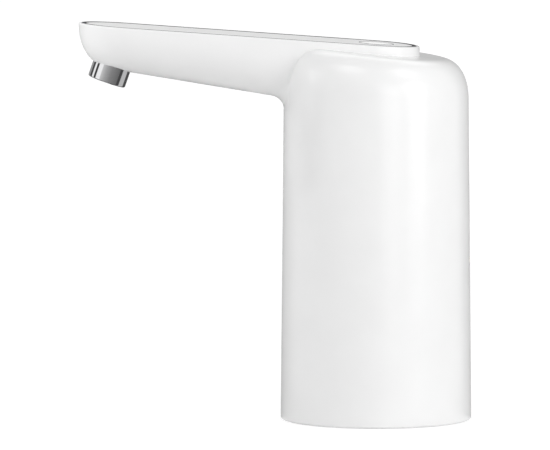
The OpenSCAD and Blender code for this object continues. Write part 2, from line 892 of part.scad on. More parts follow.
module bottle_collar() {
    color("white") difference() {
        union() {
            tube(neck_r + collar_wall, neck_r, 0, plate_top);
            tube(collar_r, neck_r, 0, collar_foot_h);
            tube(collar_r, collar_r - collar_skirt, 0, plate_z);
            rod(neck_r + collar_wall, plate_z, plate_top);
            rod(well_r, plate_z, roof_top);
        }
        rod(well_r - well_wall, plate_z - cut, roof_z);
        rod(fitting_r + seat_gap, roof_z - cut, roof_top + cut);
        rod(gasket_r + seat_gap, neck_depth, plate_z);
        ring_of(base_screw_angles, base_screw_r) rod(screw_r + screw_gap, plate_z - cut, plate_top + cut);
    }
}

module neck_gasket() {
    color("lightblue") tube(gasket_r, gasket_r - gasket_w, neck_depth, plate_z - seat_gap / 2);
}

module base_screws() {
    color("silver") ring_of(base_screw_angles, base_screw_r) translate([0, 0, plate_z - screw_gap])
        screw_up(screw_r, plate_t + base_screw_grip, head_r, head_h);
}

module inlet_fitting() {
    flange_z = roof_z - seal_t - fitting_flange_t;
    color("whitesmoke") difference() {
        union() {
            rod(spigot_r, flange_z - spigot_len, flange_z);
            rod(fitting_flange_r, flange_z, flange_z + fitting_flange_t);
            rod(fitting_r, flange_z, inlet_barb_z);
            rod(barb_r, flange_z, inlet_barb_z + inlet_barb_len);
        }
        rod(bore_d / 2, flange_z - spigot_len - cut, inlet_barb_z + inlet_barb_len + cut);
    }
}

module inlet_nut() {
    color("gainsboro") difference() {
        hex(fitting_nut_r, roof_top + seat_gap, roof_top + fitting_nut_h);
        rod(fitting_r + seat_gap / 2, roof_top - cut, roof_top + fitting_nut_h + cut);
    }
}

module inlet_seal() {
    color("dimgray")
        tube(fitting_flange_r, fitting_r + seat_gap, roof_z - seal_t + seat_gap / 2, roof_z - seat_gap / 2);
}

// Frame inside

module chassis() {
    rail_y = board_w / 2 - slot_depth + rail_w / 2;
    cradle_r = cell_r + entry_gap + cradle_wall;
    color("lightgray") difference() {
        union() {
            intersection() {
                union() {
                    rod(chassis_r, floor_z, floor_top);
                    translate([0, cell_y, 0]) rod(cradle_r, floor_z, floor_top + cradle_h);
                }
                rod(chassis_r, floor_z - cut, floor_top + cradle_h);
            }
            rod(stool_r, floor_z, cover_z - cushion_t);
            ring_of(post_angles, post_pos) rod(post_r, floor_z, bracket_z - seat_gap);
            ring_of(base_screw_angles, base_screw_r) rod(head_r, plate_top + seat_gap, floor_top);
            for (side = [-1, 1]) translate([board_x + board_t / 2, side * rail_y, 0])
                block(board_t + 2 * rail_t, rail_w, floor_z, floor_top + rail_h);
        }
        rod(stool_r - stool_wall, plate_top - cut, cover_z - cushion_t - stool_cap);
        rod(stool_r - 2 * stool_wall, plate_top, cover_z);
        translate([0, cell_y, 0]) rod(cell_r + entry_gap, floor_top, floor_top + cradle_h + cut);
        translate([cradle_r, cell_y, 0])
            block(2 * tab_w, tab_w + 2 * entry_gap, floor_top, floor_top + cradle_slot_h);
        ring_of(boss_angles, boss_pos) rod(screw_r + screw_gap, floor_z - cut, floor_top + cut);
        ring_of(base_screw_angles, base_screw_r) rod(screw_r + screw_gap, plate_top, floor_top - cut / 2);
        ring_of(post_angles, post_pos) rod(screw_r + screw_gap, bracket_z - post_hole, bracket_z + cut);
        translate([board_x + board_t / 2, 0, 0])
            block(board_t + 2 * seat_gap, board_w + 2 * seat_gap, floor_top, floor_top + rail_h + cut);
    }
}

module chassis_screws() {
    color("silver") ring_of(boss_angles, boss_pos) translate([0, 0, floor_z - screw_gap])
        screw_up(screw_r, floor_t + boss_grip, head_r, head_h);
}

module upper_bracket() {
    top = bracket_z + bracket_t;
    color("lightgray") difference() {
        union() {
            rod(motor_r, bracket_z, top);
            ring_of(post_angles, post_pos) rod(post_r + eye_wall, bracket_z, top);
            ring_of(post_angles, post_pos / 2) block(post_pos, arm_w, bracket_z, top);
            translate([0, cell_y / 2, 0]) block(arm_w, cell_y, bracket_z, top);
            translate([0, cell_y, 0]) rod(foot_pad_r, cell_top + tab_t + 2 * seat_gap, top);
        }
        rod(bracket_hole_r, bracket_z - cut, top + cut);
        ring_of(post_angles, post_pos) rod(screw_r + screw_gap, bracket_z - cut, top + cut);
    }
}

module bracket_screws() {
    color("silver") ring_of(post_angles, post_pos) translate([0, 0, bracket_z + bracket_t + screw_gap])
        screw_down(screw_r, bracket_t + bracket_grip, head_r, head_h);
}

module pump_cushion() {
    color("dimgray") tube(pump_r - seat_gap, stool_r - 2 * stool_wall,
        cover_z - cushion_t + seat_gap / 2, cover_z - seat_gap / 2);
}

// Battery and boards

module battery_cell() {
    color("steelblue") translate([0, cell_y, 0]) {
        rod(cell_r, cell_z, cell_top - cell_rim);
        rod(cell_r - cell_rim, cell_z, cell_top - cell_cap_h);
        rod(cell_cap_r, cell_z, cell_top);
    }
}

module battery_tabs() {
    top = cell_top + seat_gap / 2;
    foot = floor_top + seat_gap;
    reach = tab_l / 2 + tab_reach;
    color("silver") translate([0, cell_y, 0]) {
        block(tab_l, tab_w, top, top + tab_t);
        translate([tab_reach - reach / 2, 0, 0]) block(reach, tab_w, foot, foot + tab_t);
    }
}

module battery_leads() {
    color("firebrick") lead(cell_route_up, 1);
    color("black") lead(cell_route_down, 1);
}

module main_board() {
    color("seagreen") translate([board_x, -board_w / 2, board_z]) cube([board_t, board_w, board_h]);
}

module board_components() {
    face = board_x - seat_gap / 2;
    color("ivory") for (y = [-plug_y, 0, plug_y])
        translate([face - plug_l, y - plug_w / 2, plug_z]) difference() {
            cube([plug_l, plug_w, plug_h]);
            translate([plug_wall, plug_wall, plug_floor])
                cube([plug_l - 2 * plug_wall, plug_w - 2 * plug_wall, plug_h]);
        }
    color("black") translate([face - chip.x, chip_y, board_z + chip_z]) cube(chip);
    color("dimgray") translate([face - coil.x, coil_y, board_z + coil_z]) cube(coil);
    color("black") translate([face, capacitor_y, board_z + capacitor_z]) rotate([0, -90, 0])
        rod(capacitor_r, 0, capacitor_h);
}

module usb_socket() {
    low = board_x + board_t + seat_gap / 2;
    color("silver") translate([low, -usb_w / 2, usb_z - usb_h / 2]) difference() {
        cube([usb_face - low, usb_w, usb_h]);
        translate([usb_back, usb_wall, usb_wall])
            cube([usb_face, usb_w - 2 * usb_wall, usb_h - 2 * usb_wall]);
    }
    color("black") translate([low + tongue_root, -tongue_w / 2, usb_z - tongue_h / 2])
        cube([usb_face - low - 2 * tongue_root, tongue_w, tongue_h]);
}

module switch_board() {
    color("seagreen") on_rim() difference() {
        block(switch_board_l, switch_board_w, switch_board_top - board_t, switch_board_top);
        for (s = [-1, 1]) translate([s * switch_post_x, 0, 0])
            rod(small_screw_r + seat_gap, switch_board_top - board_t - cut, switch_board_top + cut);
    }
}

module switch_screws() {
    color("silver") on_rim() for (s = [-1, 1])
        translate([s * switch_post_x, 0, switch_board_top - board_t - screw_gap])
            screw_up(small_screw_r, board_t + switch_screw_grip, small_head_r, small_head_h);
}

module tact_switch() {
    color("black") on_rim() difference() {
        block(switch_w, switch_w, switch_board_top + seat_gap / 2, switch_top);
        rod(plunger_r + seat_gap, switch_board_top + seat_gap + switch_floor, switch_top + cut);
    }
}

module switch_plunger() {
    color("gray") on_rim() rod(plunger_r, plunger_top - plunger_h, plunger_top);
}

module switch_leads() {
    color("red") lead(switch_route, 1);
    color("black") lead(switch_route, -1);
}

// Motor

module motor_can() {
    color("silver") difference() {
        union() {
            rod(motor_r, motor_z, motor_top);
            rod(motor_boss_r, motor_z - motor_boss_h, motor_z + cut);
        }
        rod(motor_r - can_wall, motor_z + can_wall, motor_top + cut);
        rod(bush_r + seat_gap / 2, motor_z - motor_boss_h - cut, motor_z + 2 * cut);
        ring_of([90, 270], motor_screw_pos) rod(screw_r + screw_gap, motor_z - cut, motor_z + 2 * cut);
    }
}

module motor_magnets() {
    r_out = motor_r - can_wall - seat_gap / 2;
    color("dimgray") for (turn = [0, 180]) rotate([0, 0, turn - magnet_angle / 2])
        translate([0, 0, stack_z - magnet_over]) rotate_extrude(angle = magnet_angle)
            translate([r_out - magnet_t, 0]) square([magnet_t, stack_h + 2 * magnet_over]);
}

module motor_bushes() {
    color("goldenrod") {
        tube(bush_r, shaft_r + run_gap, motor_z - motor_boss_h, motor_z - motor_boss_h + bush_h);
        tube(bush_r, shaft_r + run_gap, motor_top + cap_boss_h - bush_h, motor_top + cap_boss_h);
    }
}

module motor_end_cap() {
    color("whitesmoke") difference() {
        union() {
            rod(motor_r - can_wall - seat_gap / 2, motor_top - cap_t, motor_top);
            rod(motor_boss_r, motor_top - cap_t, motor_top + cap_boss_h);
        }
        rod(bush_r + seat_gap / 2, motor_top - cap_t - cut, motor_top + cap_boss_h + cut);
        for (side = [-1, 1]) translate([0, side * terminal_y, 0])
            block(terminal_w + 2 * terminal_room, terminal_t + 2 * terminal_room,
                motor_top - cap_t - cut, motor_top + cut);
    }
}

module motor_terminals() {
    color("gold") for (side = [-1, 1]) translate([0, side * terminal_y, 0])
        block(terminal_w, terminal_t, motor_top - cap_t - brush_drop, motor_top + cap_t + terminal_h);
}

module motor_brushes() {
    top = motor_top - cap_t - brush_drop;
    near = commutator_r + run_gap;
    reach = terminal_y - terminal_t / 2 - near - run_gap;
    color("orange") for (side = [-1, 1]) translate([0, side * (near + reach / 2), 0])
        block(brush_w, reach, top - brush_t, top);
}

module motor_screws() {
    color("silver") ring_of([90, 270], motor_screw_pos) translate([0, 0, motor_z - pump_top_t - screw_gap])
        screw_up(screw_r, pump_top_t + can_wall + motor_screw_end, motor_head_r, motor_head_h);
}

module motor_leads() {
    color("red") lead(motor_route, 1);
    color("black") lead(motor_route, -1);
}

module motor_shaft() {
    color("silver")
        rod(shaft_r, eccentric_z + eccentric_h - shaft_grip, motor_top + cap_boss_h - shaft_end);
}

module armature() {
    color("gray") difference() {
        rod(armature_d / 2, stack_z, stack_z + stack_h);
        rod(shaft_r + press_gap, stack_z - cut, stack_z + stack_h + cut);
        ring_of([60, 180, 300], armature_d / 2)
            block(armature_d / 2, slot_w, stack_z - cut, stack_z + stack_h + cut);
    }
}

module armature_windings() {
    color("chocolate") for (low = [stack_z - winding_h - seat_gap, stack_z + stack_h + seat_gap])
        tube(winding_r, shaft_r + winding_hole, low, low + winding_h);
}

module commutator() {
    top = motor_top - cap_t - brush_drop + commutator_over;
    low = top - commutator_h;
    color("orange") difference() {
        tube(commutator_r, shaft_r + press_gap, low, top);
        ring_of([0, 120, 240], commutator_r) block(1, commutator_slot, low - cut, top + cut);
    }
}

// Crank and pump

module eccentric() {
    top = eccentric_z + eccentric_h;
    color("ivory") difference() {
        rod(eccentric_r, eccentric_z, top);
        rod(shaft_r + press_gap, top - shaft_grip - seat_gap, top + cut);
        on_wobble() rod(pin_d / 2 + press_gap, 0, pin_top + seat_gap);
    }
}

module crank_pin() {
    color("silver") on_wobble() rod(pin_d / 2, pin_low, pin_top);
}

module wobble_plate() {
    color("ivory") on_wobble() difference() {
        union() {
            sphere(r = pivot_r);
            rod(hub_r, hub_low, hub_top);
            ring_of(cup_angles, cup_pitch_r / 2)
                block(cup_pitch_r, wobble_arm_w, wobble_arm_low, wobble_arm_top);
            ring_of(cup_angles, cup_pitch_r) rod(wobble_eye_r, wobble_arm_low, wobble_arm_top);
        }
        rod(pin_d / 2 + run_gap, pin_low - seat_gap, hub_top + cut);
        ring_of(cup_angles, cup_pitch_r) rod(wobble_hole_r, wobble_arm_low - cut, wobble_arm_top + cut);
    }
}

module pump_body() {
    low = crank_z + seat_gap / 2;
    color("whitesmoke") difference() {
        rod(pump_r, low, motor_z - seat_gap / 2);
        difference() {
            rod(pump_r - pump_wall, low - cut, motor_z - pump_top_t);
            ring_of(pump_screw_angles, pump_screw_pos) rod(pump_post_r, low - 2 * cut, motor_z);
        }
        rod(motor_boss_r + seat_gap, motor_z - pump_top_t - cut, motor_z + cut);
        ring_of([90, 270], motor_screw_pos)
            rod(screw_r + screw_gap, motor_z - pump_top_t - cut, motor_z + cut);
        ring_of(pump_screw_angles, pump_screw_pos)
            rod(screw_r + screw_gap, crank_z - cut, crank_z + pump_screw_grip + cut);
    }
}

module diaphragm() {
    low = diaphragm_z + seat_gap / 2;
    color("slategray") difference() {
        union() {
            rod(pump_r - seat_gap, low, crank_z);
            ring_of(cup_angles, cup_pitch_r) rod(cup_r, low, crank_z + cup_h);
            on_wobble() ring_of(cup_angles, cup_pitch_r) rod(pull_r, pull_low, pull_head_top);
            on_wobble() ring_of(cup_angles, cup_pitch_r) rod(pull_head_r, pull_head_low, pull_head_top);
        }
        ring_of(cup_angles, cup_pitch_r)
            rod(cup_r - cup_wall, diaphragm_z - cut, crank_z + cup_h - cup_roof);
        rod(pivot_post_r + seat_gap, diaphragm_z - cut, crank_z + cut);
        ring_of(pump_screw_angles, pump_screw_pos)
            rod(screw_r + screw_gap, diaphragm_z - cut, crank_z + cut);
    }
}

module valve_plate() {
    color("ivory") difference() {
        union() {
            rod(pump_r, valve_z + seat_gap / 2, diaphragm_z);
            rod(pivot_post_r, valve_z + cut, pivot_z - pivot_post_drop);
        }
        translate([0, 0, pivot_z]) sphere(r = pivot_r + seat_gap);
        ring_of(cup_angles, inlet_hole_pos) rod(valve_hole_r, valve_z - cut, diaphragm_z + cut);
        ring_of(cup_angles, outlet_hole_pos) rod(valve_hole_r, valve_z - cut, diaphragm_z + cut);
        ring_of(pump_screw_angles, pump_screw_pos)
            rod(screw_r + screw_gap, valve_z - cut, diaphragm_z + cut);
    }
}

module valve_flaps() {
    low = diaphragm_z + seat_gap / 2;
    color("dimgray") {
        tube(outlet_chamber_out - flap_edge, outlet_chamber_in + flap_edge, valve_z - flap_t, valve_z);
        ring_of(cup_angles, inlet_hole_pos + flap_shift) rod(flap_r, low, low + flap_t);
    }
}

module pump_cover() {
    barb_top = outlet_barb_z + outlet_barb_len;
    color("whitesmoke") difference() {
        union() {
            rod(pump_r, cover_z, valve_z - seat_gap / 2);
            rod(barb_r, cover_z - pump_barb_len, cover_z + cut);
            on_outlet() rod(outlet_boss_r, 0, outlet_x - pump_r + outlet_root);
            translate([-outlet_x, 0, 0]) rod(outlet_elbow_r, outlet_z - outlet_elbow_r, outlet_barb_z);
            translate([-outlet_x, 0, 0]) rod(barb_r, outlet_z, barb_top);
        }
        rod(inlet_chamber_r, valve_z - chamber_h, valve_z + cut);
        tube(outlet_chamber_out, outlet_chamber_in, valve_z - chamber_h, valve_z + cut);
        rod(bore_d / 2, cover_z - pump_barb_len - cut, valve_z);
        on_outlet() rod(bore_d / 2, 0, outlet_x - outlet_chamber_out + cut);
        translate([-outlet_x, 0, 0]) rod(bore_d / 2, outlet_z, barb_top + cut);
        ring_of(pump_screw_angles, pump_screw_pos) rod(screw_r + screw_gap, cover_z - cut, valve_z + cut);
        ring_of(pump_screw_angles, pump_screw_pos)
            rod(pump_head_r + seat_gap, cover_z - cut, cover_z + pump_head_sink);
    }
}

module pump_screws() {
    low = cover_z + pump_head_sink;
    color("silver") ring_of(pump_screw_angles, pump_screw_pos) translate([0, 0, low - screw_gap])
        screw_up(screw_r, crank_z + pump_screw_grip - low, pump_head_r, pump_head_h);
}

// Hoses

module inlet_hose() {
    color("lightyellow") tube(hose_r, hose_bore_d / 2, inlet_barb_z + seat_gap, cover_z - seat_gap);
}

module outlet_hose() {
    color("lightyellow") difference() {
        outlet_run(hose_r, 0);
        outlet_run(hose_bore_d / 2, cut);
    }
}

// Line of the hose in the XZ plane as angle, X and Z: up from the pump, round the bend, along the spout
module outlet_run(r, over) {
    turn = 90 - top_tilt;
    run = hose_run + over;
    line = concat(
        [[0, -outlet_x, outlet_barb_z + seat_gap - over]],
        [for (i = [0:bend_steps]) let (a = turn * i / bend_steps)
            [a, -outlet_x - hose_bend_r * (1 - cos(a)), bend_z + hose_bend_r * sin(a)]],
        [[turn, bend_end_x - run * cos(top_tilt), bend_end_z + run * sin(top_tilt)]]
    );
    points = [
        for (s = line, j = [0:hose_sides - 1])
            let (b = 360 * j / hose_sides, out = r * cos(b))
            [s[1] + out * cos(s[0]), r * sin(b), s[2] + out * sin(s[0])]
    ];
    polyhedron(points, stack_faces(len(line), hose_sides), convexity = 6);
}

housing();
top_panel();
trim_ring();
button();
nozzle_sleeve();
nozzle_insert();
nozzle_nut();
nozzle_elbow();
nozzle_o_ring();
bottle_collar();
neck_gasket();
base_screws();
inlet_fitting();
inlet_nut();
inlet_seal();
chassis();
chassis_screws();
upper_bracket();
bracket_screws();
pump_cushion();
battery_cell();
battery_tabs();
battery_leads();
main_board();
board_components();
usb_socket();
switch_board();
switch_screws();
tact_switch();
switch_plunger();
switch_leads();
motor_can();
motor_magnets();
motor_bushes();
motor_end_cap();
motor_terminals();
motor_brushes();
motor_screws();
motor_leads();
motor_shaft();
armature();
armature_windings();
commutator();
eccentric();
crank_pin();
wobble_plate();
pump_body();
diaphragm();
valve_plate();
valve_flaps();
pump_cover();
pump_screws();
inlet_hose();
outlet_hose();
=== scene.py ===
"""Looks of an electric pump for a large drinking-water jug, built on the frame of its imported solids.

Sizes are in millimetres unless a name says otherwise, measured from the foot of the body on the
neck's axis, with +Z up and the spout pointing to -X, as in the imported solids.
"""

from __future__ import annotations

import json
import logging
import math
from dataclasses import dataclass, field
from enum import Enum
from typing import Any, Sequence

import bmesh
import bpy
import numpy as np
from mathutils import Matrix

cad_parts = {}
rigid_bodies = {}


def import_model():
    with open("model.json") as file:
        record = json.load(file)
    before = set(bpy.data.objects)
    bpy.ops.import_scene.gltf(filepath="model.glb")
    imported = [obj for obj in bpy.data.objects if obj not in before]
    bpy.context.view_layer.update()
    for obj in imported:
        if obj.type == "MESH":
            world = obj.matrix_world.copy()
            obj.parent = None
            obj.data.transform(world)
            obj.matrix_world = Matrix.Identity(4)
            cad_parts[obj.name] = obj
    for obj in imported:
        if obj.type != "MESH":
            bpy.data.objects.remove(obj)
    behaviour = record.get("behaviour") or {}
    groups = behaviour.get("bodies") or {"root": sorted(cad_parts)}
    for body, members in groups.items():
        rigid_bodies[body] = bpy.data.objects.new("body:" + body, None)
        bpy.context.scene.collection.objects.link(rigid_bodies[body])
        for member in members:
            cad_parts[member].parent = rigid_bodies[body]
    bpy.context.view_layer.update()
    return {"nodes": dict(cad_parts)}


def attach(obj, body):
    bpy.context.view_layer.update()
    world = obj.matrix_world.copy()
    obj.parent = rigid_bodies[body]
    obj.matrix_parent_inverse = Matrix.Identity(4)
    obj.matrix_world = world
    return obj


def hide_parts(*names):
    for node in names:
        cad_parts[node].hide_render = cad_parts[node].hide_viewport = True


LOG = logging.getLogger("jug_pump")
MM = 0.001
WELD = 2e-7
SLIVER = 1e-8
ON_AXIS = 1e-6
LEAST_HALF = 1e-3
LEAST_SLOPE = 1e-9
QUARTER = math.pi / 2
WHITE = (1, 1, 1, 1)
Pair = tuple[float, float]
Corner = tuple[float, float, float]
Colour = tuple[float, float, float]


class Body(Enum):
    """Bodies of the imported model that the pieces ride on."""

    FRAME = "pump_frame"
    BUTTON = "button"


class Cut(Enum):
    """Ways in which one solid works on another."""

    ADD = "UNION"
    TAKE = "DIFFERENCE"


def grey(tone: float) -> Colour:
    """Colour with as much red as green and blue."""
    return (tone, tone, tone)


class Line:
    """Two-dimensional lines for sections and outlines."""

    ROOM = 0.49
    STRAIGHT = 1e-6

    @staticmethod
    def fillet(corners: Sequence[Corner], closed: bool = True, steps: int = 6) -> list[Pair]:
        """Round the corners of a line.

        Args:
            corners: Points of the line, each with the radius of its corner.
            closed: Whether the last point joins the first.
            steps: Number of straight pieces in a rounded corner.

        Returns:
            The points of the rounded line.
        """
        points: list[Pair] = []
        last = len(corners) - 1
        for i, (u, v, radius) in enumerate(corners):
            if radius <= 0 or (not closed and i in (0, last)):
                points.append((u, v))
                continue
            here = np.array((u, v))
            back = np.array(corners[i - 1][:2]) - here
            on = np.array(corners[(i + 1) % len(corners)][:2]) - here
            room = Line.ROOM * min(np.linalg.norm(back), np.linalg.norm(on))
            back, on = back / np.linalg.norm(back), on / np.linalg.norm(on)
            half = math.acos(float(np.clip(back @ on, -1, 1))) / 2
            if math.cos(half) < Line.STRAIGHT:
                points.append((u, v))
                continue
            run = min(radius / math.tan(half), room)
            centre = here + (back + on) / np.linalg.norm(back + on) * run / math.cos(half)
            start, end = here + back * run - centre, here + on * run - centre
            first = math.atan2(start[1], start[0])
            turn = math.atan2(start[0] * end[1] - start[1] * end[0], float(start @ end))
            reach = float(np.linalg.norm(start))
            for k in range(steps + 1):
                angle = first + turn * k / steps
                points.append((centre[0] + reach * math.cos(angle), centre[1] + reach * math.sin(angle)))
        return points


class Mesh:
    """Mesh tools that the sub-assemblies share."""

    @staticmethod
    def add(name: str, data: Any) -> bpy.types.Object:
        """Make an object and link it to the scene.

        Args:
            name: Name of the object.
            data: Its mesh, lamp or camera.

        Returns:
            The new object.
        """
        thing = bpy.data.objects.new(name, data)
        bpy.context.scene.collection.objects.link(thing)
        return thing

    @staticmethod
    def sheet(name: str, width: float, height: float) -> bpy.types.Object:
        """Make a flat sheet about the origin, facing +Z.

        Args:
            name: Name of the sheet.
            width: Length along X in metres.
            height: Length along Y in metres.

        Returns:
            The new object.
        """
        w, h = width / 2, height / 2
        mesh = bpy.data.meshes.new(name)
        mesh.from_pydata([(-w, -h, 0), (w, -h, 0), (w, h, 0), (-w, h, 0)], [], [(0, 1, 2, 3)])
        return Mesh.add(name, mesh)

    @staticmethod
    def piece(
        name: str, points: np.ndarray, faces: Sequence[Sequence[int]], place: Matrix
    ) -> bpy.types.Object:
        """Make a closed mesh object with its place in its vertices.

        Args:
            name: Name of the piece.
            points: Vertices in millimetres, one row each.
            faces: Vertex numbers of each face.
            place: Turn and shift of the vertices, in millimetres.

        Returns:
            The new object, linked to the scene.
        """
        turn = np.array(place)
        world = (points.reshape(-1, 3) @ turn[:3, :3].T + turn[:3, 3]) * MM
        mesh = bpy.data.meshes.new(name)
        mesh.from_pydata(world.tolist(), [], [list(f) for f in faces])
        work = bmesh.new()
        work.from_mesh(mesh)
        bmesh.ops.remove_doubles(work, verts=work.verts, dist=WELD)
        bmesh.ops.dissolve_degenerate(work, edges=work.edges, dist=SLIVER)
        bmesh.ops.recalc_face_normals(work, faces=work.faces)
        if work.calc_volume(signed=True) < 0:
            bmesh.ops.reverse_faces(work, faces=work.faces)
        work.to_mesh(mesh)
        work.free()
        return Mesh.add(name, mesh)

    @staticmethod
    def grid_faces(rows: int, columns: int, wrap_rows: bool, wrap_columns: bool) -> list[list[int]]:
        """Quads that join a grid of points.

        Args:
            rows: Number of rows.
            columns: Number of points in a row.
            wrap_rows: Whether the last row joins the first.
            wrap_columns: Whether the last point of a row joins its first.

        Returns:
            The faces' vertex numbers.
        """
        return [
            [
                i * columns + j,
                i * columns + (j + 1) % columns,
                (i + 1) % rows * columns + (j + 1) % columns,
                (i + 1) % rows * columns + j,
            ]
            for i in range(rows if wrap_rows else rows - 1)
            for j in range(columns if wrap_columns else columns - 1)
        ]

    @staticmethod
    def lathe(name: str, line: Sequence[Pair], place: Matrix = Matrix(), turns: int = 96) -> bpy.types.Object:
        """Turn a section about the Z axis.

        Args:
            name: Name of the piece.
            line: Radius and height of the section's points, a closed loop or from axis to axis.
            place: Turn and shift of the piece.
            turns: Number of steps in the full turn.

        Returns:
            The new object.
        """
        section = np.array(line, float)
        open_line = section[0, 0] < ON_AXIS and section[-1, 0] < ON_AXIS
        angle = np.arange(turns) * 2 * math.pi / turns
        points = np.stack(
            [
                np.outer(section[:, 0], np.cos(angle)),
                np.outer(section[:, 0], np.sin(angle)),
                np.repeat(section[:, 1:2], turns, axis=1),
            ],
            axis=-1,
        )
        return Mesh.piece(name, points, Mesh.grid_faces(len(section), turns, not open_line, True), place)

    @staticmethod
    def stack(name: str, rings: Sequence[np.ndarray], loop: bool, place: Matrix) -> bpy.types.Object:
        """Join a stack of outlines with the same number of points.

        Args:
            name: Name of the piece.
            rings: The outlines, from one end to the other.
            loop: Whether the last outline joins the first, or flat faces close the ends.
            place: Turn and shift of the piece.

        Returns:
            The new object.
        """
        sides = len(rings[0])
        faces = Mesh.grid_faces(len(rings), sides, loop, True)
        if not loop:
            faces.append(list(range(sides)))
            faces.append(list(range((len(rings) - 1) * sides, len(rings) * sides)))
        return Mesh.piece(name, np.stack(rings), faces, place)

    @staticmethod
    def bake(thing: bpy.types.Object) -> None:
        """Turn an object's modifiers into its plain mesh."""
        graph = bpy.context.evaluated_depsgraph_get()
        mesh = bpy.data.meshes.new_from_object(thing.evaluated_get(graph))
        thing.modifiers.clear()
        thing.data = mesh

    @staticmethod
    def work(target: bpy.types.Object, tool: bpy.types.Object, how: Cut) -> None:
        """Add a tool to a solid or take it out, and drop the tool.

        Args:
            target: The solid that is changed.
            tool: The solid that works on it.
            how: Whether the tool is added or taken out.
        """
        step = target.modifiers.new("cut", "BOOLEAN")
        step.operation, step.solver, step.object = how.value, "EXACT", tool
        Mesh.bake(target)
        bpy.data.objects.remove(tool)

    @staticmethod
    def shade(thing: bpy.types.Object, crease: float = 32) -> None:
        """Shade a mesh smooth with its edges sharp above an angle.

        Args:
            thing: The object.
            crease: Angle in degrees above which an edge stays sharp.
        """
        thing.data.shade_smooth()
        thing.data.set_sharp_from_angle(angle=math.radians(crease))


class Tree:
    """Adds and joins the nodes of one node tree."""

    def __init__(self, tree: bpy.types.NodeTree) -> None:
        """Keep the tree that the nodes go into."""
        self.tree = tree

    @classmethod
    def fresh(cls, owner: bpy.types.Material | bpy.types.World) -> Tree:
        """Open the node tree of a material or a world, emptied.

        Args:
            owner: The material or world.

        Returns:
            Its tree.
        """
        owner.use_nodes = True
        owner.node_tree.nodes.clear()
        return cls(owner.node_tree)

    def join(self, source: bpy.types.NodeSocket, target: bpy.types.NodeSocket) -> None:
        """Join an output to an input."""
        self.tree.links.new(source, target)

    def calc(self, how: str, first: Any, second: Any) -> bpy.types.NodeSocket:
        """Result of a node that works on two numbers."""
        return self.node("ShaderNodeMath", {0: first, 1: second}, operation=how).outputs[0]

    def seen(self) -> bpy.types.NodeSocket:
        """Mark the rays that come from the camera, a mirror or something clear.

        Returns:
            A mask that is 1 for these rays.
        """
        path = self.node("ShaderNodeLightPath").outputs
        mirrored = self.calc("MAXIMUM", path["Is Glossy Ray"], path["Is Transmission Ray"])
        return self.calc("MAXIMUM", path["Is Camera Ray"], mirrored)

    def node(self, kind: str, inputs: dict[Any, Any] | None = None, **settings: Any) -> bpy.types.Node:
        """Add a node.

        Args:
            kind: Blender's name of the node type.
            inputs: Values or output sockets for its inputs, by name or number.
            settings: Properties of the node itself.

        Returns:
            The new node.
        """
        made = self.tree.nodes.new(kind)
        for key, value in settings.items():
            setattr(made, key, value)
        for key, value in (inputs or {}).items():
            if isinstance(value, bpy.types.NodeSocket):
                self.tree.links.new(value, made.inputs[key])
            else:
                made.inputs[key].default_value = value
        return made


class Grain(Enum):
    """Surface effects that a finish can have, by the names of their node groups."""

    MOULDED = "moulded_grain"
    DRAWN = "drawn_lines"
    LAYERED = "even_layers"
    PRINTED = "printed_tracks"


